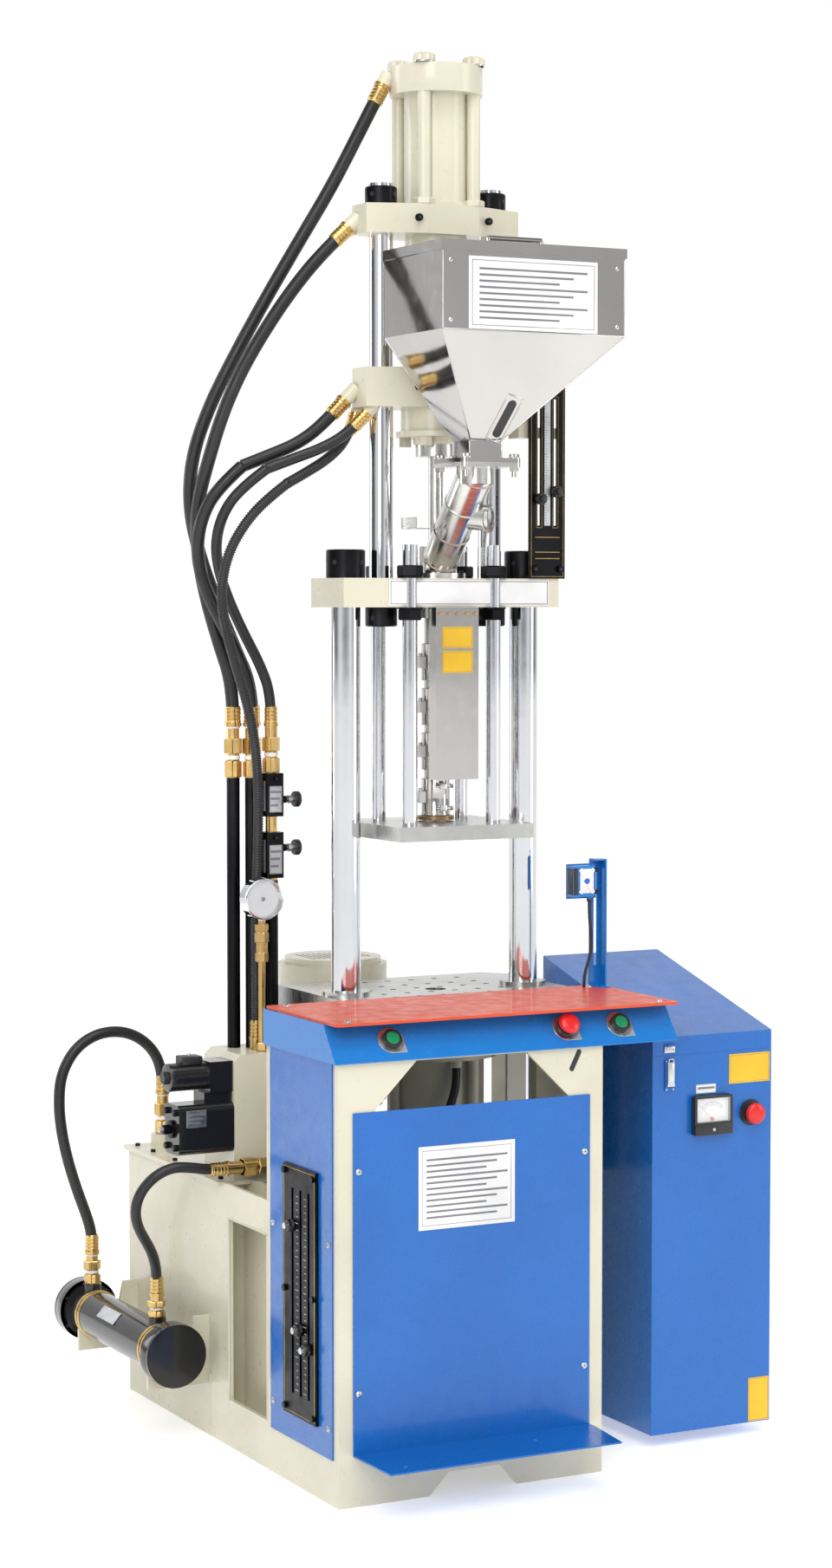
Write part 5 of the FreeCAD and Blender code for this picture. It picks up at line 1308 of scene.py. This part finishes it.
@dataclass
class Head:
    """Nuts, blank name plate and fittings of the moving head."""

    mains: tuple[float, float] = (214, 592)
    uppers: tuple[float, float] = (288, 518)
    bands: tuple[float, ...] = (1176, 1262, 1346, 1430)
    band_height: float = 70

    def build(self) -> None:
        """Build the details of the head."""
        deliver("head_nuts", "head", BLACK_STEEL, self._nuts(), ["column_nuts"])
        plate = label((268, 331.4, 1571), (606, 332.6, 1619), 0)
        deliver("name_plate", "head", WHITE, plate)
        self._shield()
        self._barrel()

    def _nuts(self) -> list[bpy.types.Object]:
        """Round nuts with spanner holes, and hexagons on the hanging rods."""
        parts = []
        for xs, z, way, r, height, bore, depth in (
                (self.mains, HEAD_TOP, 1, 36.5, 53, 27.8, 44), (self.mains, 300, -1, 36.5, 32, 27.8, 30),
                (self.uppers, 2312, 1, 30, 34, 22.8, 33.6),
                (self.uppers, HEAD_UNDER, -1, 30, 36, 22.8, 35.6)):
            places = [(x, AXIS[1], z) for x in xs]
            parts += repeat(self._round_nut(places[0], way, r, height, bore, depth), places)
        for z, way in ((HEAD_TOP, 1), (HEAD_UNDER, -1)):
            places = [(AXIS[0] + dx, AXIS[1] + dy, z) for dx in (-88, 88) for dy in (-65, 65)]
            nut = turned(places[0], (0, 0, way), [(22, 3.2), (24.25, 4.5), (24.25, 21.5), (21.8, 24)], 6)
            washer = turned(places[0], (0, 0, way), [(24, 0), (24, 3.2)], 32)
            parts += repeat([nut, washer], places)
        return parts

    @staticmethod
    def _round_nut(place: Point, way: int, r: float, height: float, bore: float,
                   depth: float) -> list[bpy.types.Object]:
        """A chamfered round nut with a recess round the thread, and black discs in its side as painted
        shade of the spanner holes.
        """
        rings = [(r - 1.2, 0), (r, 1.2), (r, height - 2.5), (r - 2.5, height), (bore, height),
                 (bore - 0.6, depth)]
        parts = [dress(turned(place, (0, 0, way), rings, 56), BLACK_STEEL)]
        x, y, z = place
        # black discs standing out of the side are painted shade of the spanner holes
        for k in range(4):
            a = math.radians(90 * k - 60)
            out = (math.cos(a), math.sin(a), 0)
            spot = (x + (r - 3) * out[0], y + (r - 3) * out[1], z + way * height * 0.55)
            parts.append(dress(turned(spot, out, [(4.4, 0), (4.4, 3.15)], 20), BLACK))
        return parts

    @staticmethod
    def _shield() -> None:
        """Two bare yellow plates and a row of brass screws on the barrel's shield."""
        parts = label((371, 316.8, 1492), (435, 317.9, 1532), 0, YELLOW)
        parts += label((371, 316.8, 1446), (435, 317.9, 1487), 0, YELLOW)
        deliver("shield_plates", "head", YELLOW, parts)
        places = [(x, 318, 1556) for x in (366, 384, 403, 422, 440)]
        deliver("shield_screws", "head", BRASS,
                repeat([turned(places[0], FRONT, [(4, 0), (4, 2), (3, 3)], 6)], places))

    def _barrel(self) -> None:
        """Clamping screws, seams and terminals of the heater bands."""
        places = [(*AXIS, z) for z in self.bands]
        foot, h = self.bands[0], self.band_height
        rings = [(27.1, 0), (27.9, 1), (27.9, 3), (27.3, 4), (27.3, h - 4), (27.9, h - 3), (27.9, h - 1),
                 (27.1, h)]
        parts = [dress(hollow(turned(places[0], UP, rings, 48)), BRIGHT)]
        for z in (foot + 14, foot + h - 14):
            parts.append(dress(block((396, 371, z - 6), (410, 380, z + 6), 1.2), ZINC))
            parts.append(dress(bar((388, 374, z), (418, 374, z), 2.6, 16, 0.6), ZINC))
            parts.append(dress(turned((418, 374, z), RIGHT, [(4.6, 0), (4.6, 4), (4, 4.8)], 6), ZINC))
        middle = foot + h / 2
        white = [dress(block((362, 392, middle - 11), (377, 412, middle + 11), 3), WHITE)]
        white.append(dress(turned((369, 402, middle + 11), UP, [(4, 0), (4, 5), (3, 6)], 20), ZINC))
        parts, white = repeat(parts, places), repeat(white, places)
        deliver("heater_bands", "head", BRIGHT, parts)
        deliver("heater_terminals", "head", WHITE, white)
        ring = dress(turned((*AXIS, 1168), UP, [(33, -0.4), (34.6, 0.8), (34.6, 6.4), (33, 7.4)], 56),
                     BRONZE)
        deliver("nozzle_ring", "head", BRONZE, [ring])


@dataclass
class InjectionUnit:
    """Cap screws and bolts of the top plate, the carriage and the hydraulic motor."""

    def build(self) -> None:
        """Build the injection unit's details."""
        ties = on_circle(AXIS, 73.5, quarter_turns(45), 0)
        x, y, _ = ties[0]
        nuts = [dress(turned((x, y, 2571), UP, [(20.5, 0), (20.5, 2.4), (20, 2.6)], 32), ZINC)]
        rings = [(19, 0), (20.8, 1.2), (20.8, 11.6), (18.6, 13.2), (12, 13.3)]
        nuts.append(dress(turned((x, y, 2573.5), UP, rings, 6), CREAM))
        nuts.append(dress(turned((x, y, 2312), UP, [(19, 0), (20.8, 1.2), (20.8, 10), (18.8, 12)], 6),
                          CREAM))
        parts = repeat(nuts, ties)
        rim = turned((*AXIS, 2519), UP, [(86.6, 0.4), (87.25, 1.5), (87.25, 50.5), (86, 51.9)], 72)
        parts.append(dress(rim, CREAM))
        parts.append(dress(turned((*AXIS, 2312), UP, [(70, 0), (70, 5), (63, 7), (60.5, 9)], 64), CREAM))
        parts += [dress(turned((415, 435, 2571), UP, [(9, 0), (9, 8), (8, 9)], 6), BRASS)]
        deliver("cylinder_nuts", "head", CREAM, parts)
        places = on_circle(AXIS, 60, quarter_turns(45), 1886)
        bolt = dress(turned(places[0], DOWN, [(12, -1), (12.7, 0), (12.7, 7), (11, 8)], 6), ZINC)
        bolts = repeat([bolt], places)
        rings = [(66.3, 9), (66.3, 6), (75.3, 5), (75.3, -4), (74, -5.4), (45, -5.6), (43, -8),
                 (42.4, -17.5), (40, -18.4)]
        body = turned((*AXIS, 1891), UP, rings, 64)
        deliver("motor_bolts", "carriage", ZINC, bolts + [dress(body, CREAM)])
        for name, body, z in (("carriage_grubs", "carriage", 1975), ("top_plate_grubs", "head", 2285)):
            places = [(x, 335, z) for x in (330, 476)]
            deliver(name, body, BLACK_STEEL, row(cap_screw, places, FRONT, 7))
        gland = turned((*AXIS, 2228), DOWN, [(40, -1), (40, 2.5), (37, 4), (26, 4)], 48)
        deliver("gland_ring", "head", BLACK_STEEL, [gland])


@dataclass
class Hopper:
    """Label, sight slot, welds and rivets of the sheet steel hopper."""

    def build(self) -> None:
        """Build the hopper's details."""
        deliver("hopper_label", "head", WHITE, label((298, 79.0, 2061), (562, 80.0, 2189), 9))
        self._slot()
        edges = (((247, 81, 2058), (356, 181, 1871)), ((619, 81, 2058), (420, 181, 1871)),
                 ((247, 307, 2058), (356, 247, 1871)),
                 ((619, 307, 2058), (420, 247, 1871)), ((247, 80.5, 2059), (619, 80.5, 2059)),
                 ((247, 80.5, 2060), (247, 80.5, 2196)),
                 ((619, 80.5, 2060), (619, 80.5, 2196)), ((355, 182.5, 1870), (421, 182.5, 1870)),
                 ((355, 182, 1839), (355, 182, 1869)),
                 ((421, 182, 1839), (421, 182, 1869)))
        deliver("hopper_seams", "head", BRIGHT, [bar(p, q, 1.4, 10, 0.5) for p, q in edges])
        places = [(x, 80, z) for x in (262, 604) for z in (2075, 2180)]
        deliver("hopper_rivets", "head", ZINC, row(pan_screw, places, FRONT, 4))
        places = [(x, 205, 2216) for x in (404, 516)]
        foot = turned(places[0], UP, [(9, 0), (9, 1.5), (7, 3), (5.4, 5)], 24)
        deliver("lid_handle_feet", "hopper_lid", BRIGHT, repeat([foot], places))

    @staticmethod
    def _slot() -> None:
        """The rounded sight slot, drawn as a black plate of painted shade for its opening, and the bright
        frame around it.
        """
        face = Vector((0, -0.88, -0.475))
        up_way = Vector((21, -35, 66)).normalized()
        right_way = up_way.cross(face).normalized()
        # the black plate is painted shade of the sight slot's opening
        window = block((-9, -38, -0.4), (9, 38, 1.0), 0)
        only(window)
        mod = window.modifiers.new("ends", "BEVEL")
        mod.width, mod.segments = 0.0085, 6
        mod.limit_method = "WEIGHT"
        weights = window.data.attributes.new("bevel_weight_edge", "FLOAT", "EDGE")
        for edge in window.data.edges:
            a, b = (window.data.vertices[i].co for i in edge.vertices)
            upright = abs((a - b).z) > 0.001 and abs((a - b).x) + abs((a - b).y) < 1e-6
            weights.data[edge.index].value = 1.0 if upright else 0.0
        bpy.ops.object.modifier_apply(modifier=mod.name)
        frame_bars = [dress(bar(p, q, 1.5, 10, 0.6), BRIGHT) for p, q in (
            ((-17, -46, 0.6), (-17, 46, 0.6)), ((17, -46, 0.6), (17, 46, 0.6)),
            ((-17, 46, 0.6), (17, 46, 0.6)), ((-17, -46, 0.6), (17, -46, 0.6)))]
        parts = stand([dress(window, BLACK)] + frame_bars, (415.5, 161.3, 1909), tuple(right_way),
                      tuple(up_way))
        deliver("sight_slot", "head", BLACK, parts)


@dataclass
class FeedPipe:
    """Weld beads, drain stub rim and flange bolts of the feed pipe."""

    top: Point = (388, 215, 1816)
    foot: Point = (403, 399, 1644)

    def build(self) -> None:
        """Build the pipe's details."""
        way = Vector(self.foot) - Vector(self.top)
        parts = []
        for t, finish in ((0.03, WELD), (0.33, STAINLESS), (0.62, WELD), (0.9, WELD)):
            place = tuple(Vector(self.top) + way * t)
            rings = [(34.1, 0), (35.2, 1), (35.8, 2.5), (35.2, 4), (34.1, 5)]
            parts.append(dress(turned(place, tuple(way), rings, 48), finish))
        deliver("pipe_welds", "head", WELD, parts)
        stub = Vector((430, 250, 1732)) - Vector((394, 303, 1738))
        rings = [(24.1, -3), (25.6, -2), (25.6, 1.5), (24.6, 2.2), (21, 2.2), (20.6, -6)]
        rim = dress(turned((430, 250, 1732), tuple(stub), rings, 48), STAINLESS)
        # the dark disc at the bottom of the stub's bore, dressed in the weld tint, is painted shade of the
        # open bore
        dark = dress(turned((430, 250, 1732), tuple(stub), [(20.4, -6.5), (20.4, -5.8)], 40), WELD)
        collar = dress(turned((403, 291, 1736), tuple(stub),
                              [(24.1, 0), (27.5, 1), (28, 3), (25, 7), (24.1, 8)], 40), WELD)
        deliver("drain_stub_rim", "head", STAINLESS, [rim, dark, collar])
        places = [(388 + sx, 215 + sy, 0) for sx in (-50, 50) for sy in (-50, 50)]
        x, y, _ = places[0]
        nuts = [turned((x, y, 1838), UP, [(11, 0), (11, 1.5)], 24)]
        nuts.append(turned((x, y, 1839.4), UP, [(8.4, 0), (9.5, 1), (9.5, 5.6), (8, 6.6)], 6))
        nuts.append(turned((x, y, 1822), DOWN, [(9.5, 0), (9.5, 6), (8.2, 7)], 6))
        deliver("flange_nuts", "head", ZINC, repeat(nuts, places))
        places = on_circle(AXIS, 48, [k * QUARTER + 0.785 for k in range(4)], 1632)
        foot = row(cap_screw, places, UP, 5.5)
        deliver("throat_screws", "head", BLACK_STEEL, foot)


@dataclass
class Scale:
    """Gilt border, rule, knobs and screws of the black scale plate."""

    def build(self) -> None:
        """Build the scale's details."""
        y = 327.9
        corners = ((566, 1626), (635, 1626), (635, 1986), (566, 1986))
        lines = [strip((x0, y, z0), (x1, y, z1), 0.6, GOLD)
                 for (x0, z0), (x1, z1) in zip(corners, corners[1:] + corners[:1])]
        for x in (583, 618):
            ends = ((x - 6, 1718), (x + 6, 1718), (x + 6, 1964), (x - 6, 1964))
            lines += [strip((x0, y, z0), (x1, y, z1), 0.4, GOLD)
                      for (x0, z0), (x1, z1) in zip(ends, ends[1:] + ends[:1])]
        lines += [strip((574, y, z), (627, y, z), 0.9, GOLD) for z in (1660, 1672, 1700)]
        deliver("scale_lines", "head", GOLD, lines)
        rule = [dress(block((594, 327.2, 1722), (607, 328, 1960), 0.3, 1), SILVER)]
        for reach, steps in ((8, range(0, 47, 5)), (4.5, [k for k in range(47) if k % 5])):
            places = [(594.6, 327.1, 1726 + 5 * k) for k in steps]
            rule += repeat([strip(places[0], (594.6 + reach, 327.1, places[0][2]), 0.4, PRINT)], places)
        deliver("scale_rule", "head", SILVER, rule)
        places = [(x, 328, 1640) for x in (573, 628)]
        deliver("scale_screws", "head", BLACK_STEEL, row(cap_screw, places, FRONT, 6.5))
        for name, x, z in (("scale_knob_left", 583, 1772), ("scale_knob_right", 618, 1786)):
            parts = knob((x, 327.6, z), FRONT, 11, 13.6, BLACK)
            parts.append(dress(turned((x, 314.5, z), FRONT, [(6, 0), (6, 6), (5, 6.5)], 24), BLACK))
            parts.append(dress(bar((x, 327.8, z), (x, 332.5, z), 3.2), ZINC))
            deliver(f"{name}_grip", name, BLACK, parts, [name])




def main() -> None:
    """Build the machine."""
    logging.basicConfig(level=logging.INFO, format="%(name)s: %(message)s")
    for unit in (Studio(), Hoses(), CadFinishes(), Base(), Buttons(), Cabinet(), Sensor(), Valves(),
                 Fittings(), Gauge(),
                 Cooler(), Motor(), Head(), InjectionUnit(), Hopper(), FeedPipe(), Scale()):
        unit.build()


if __name__ == "__main__":
    main()
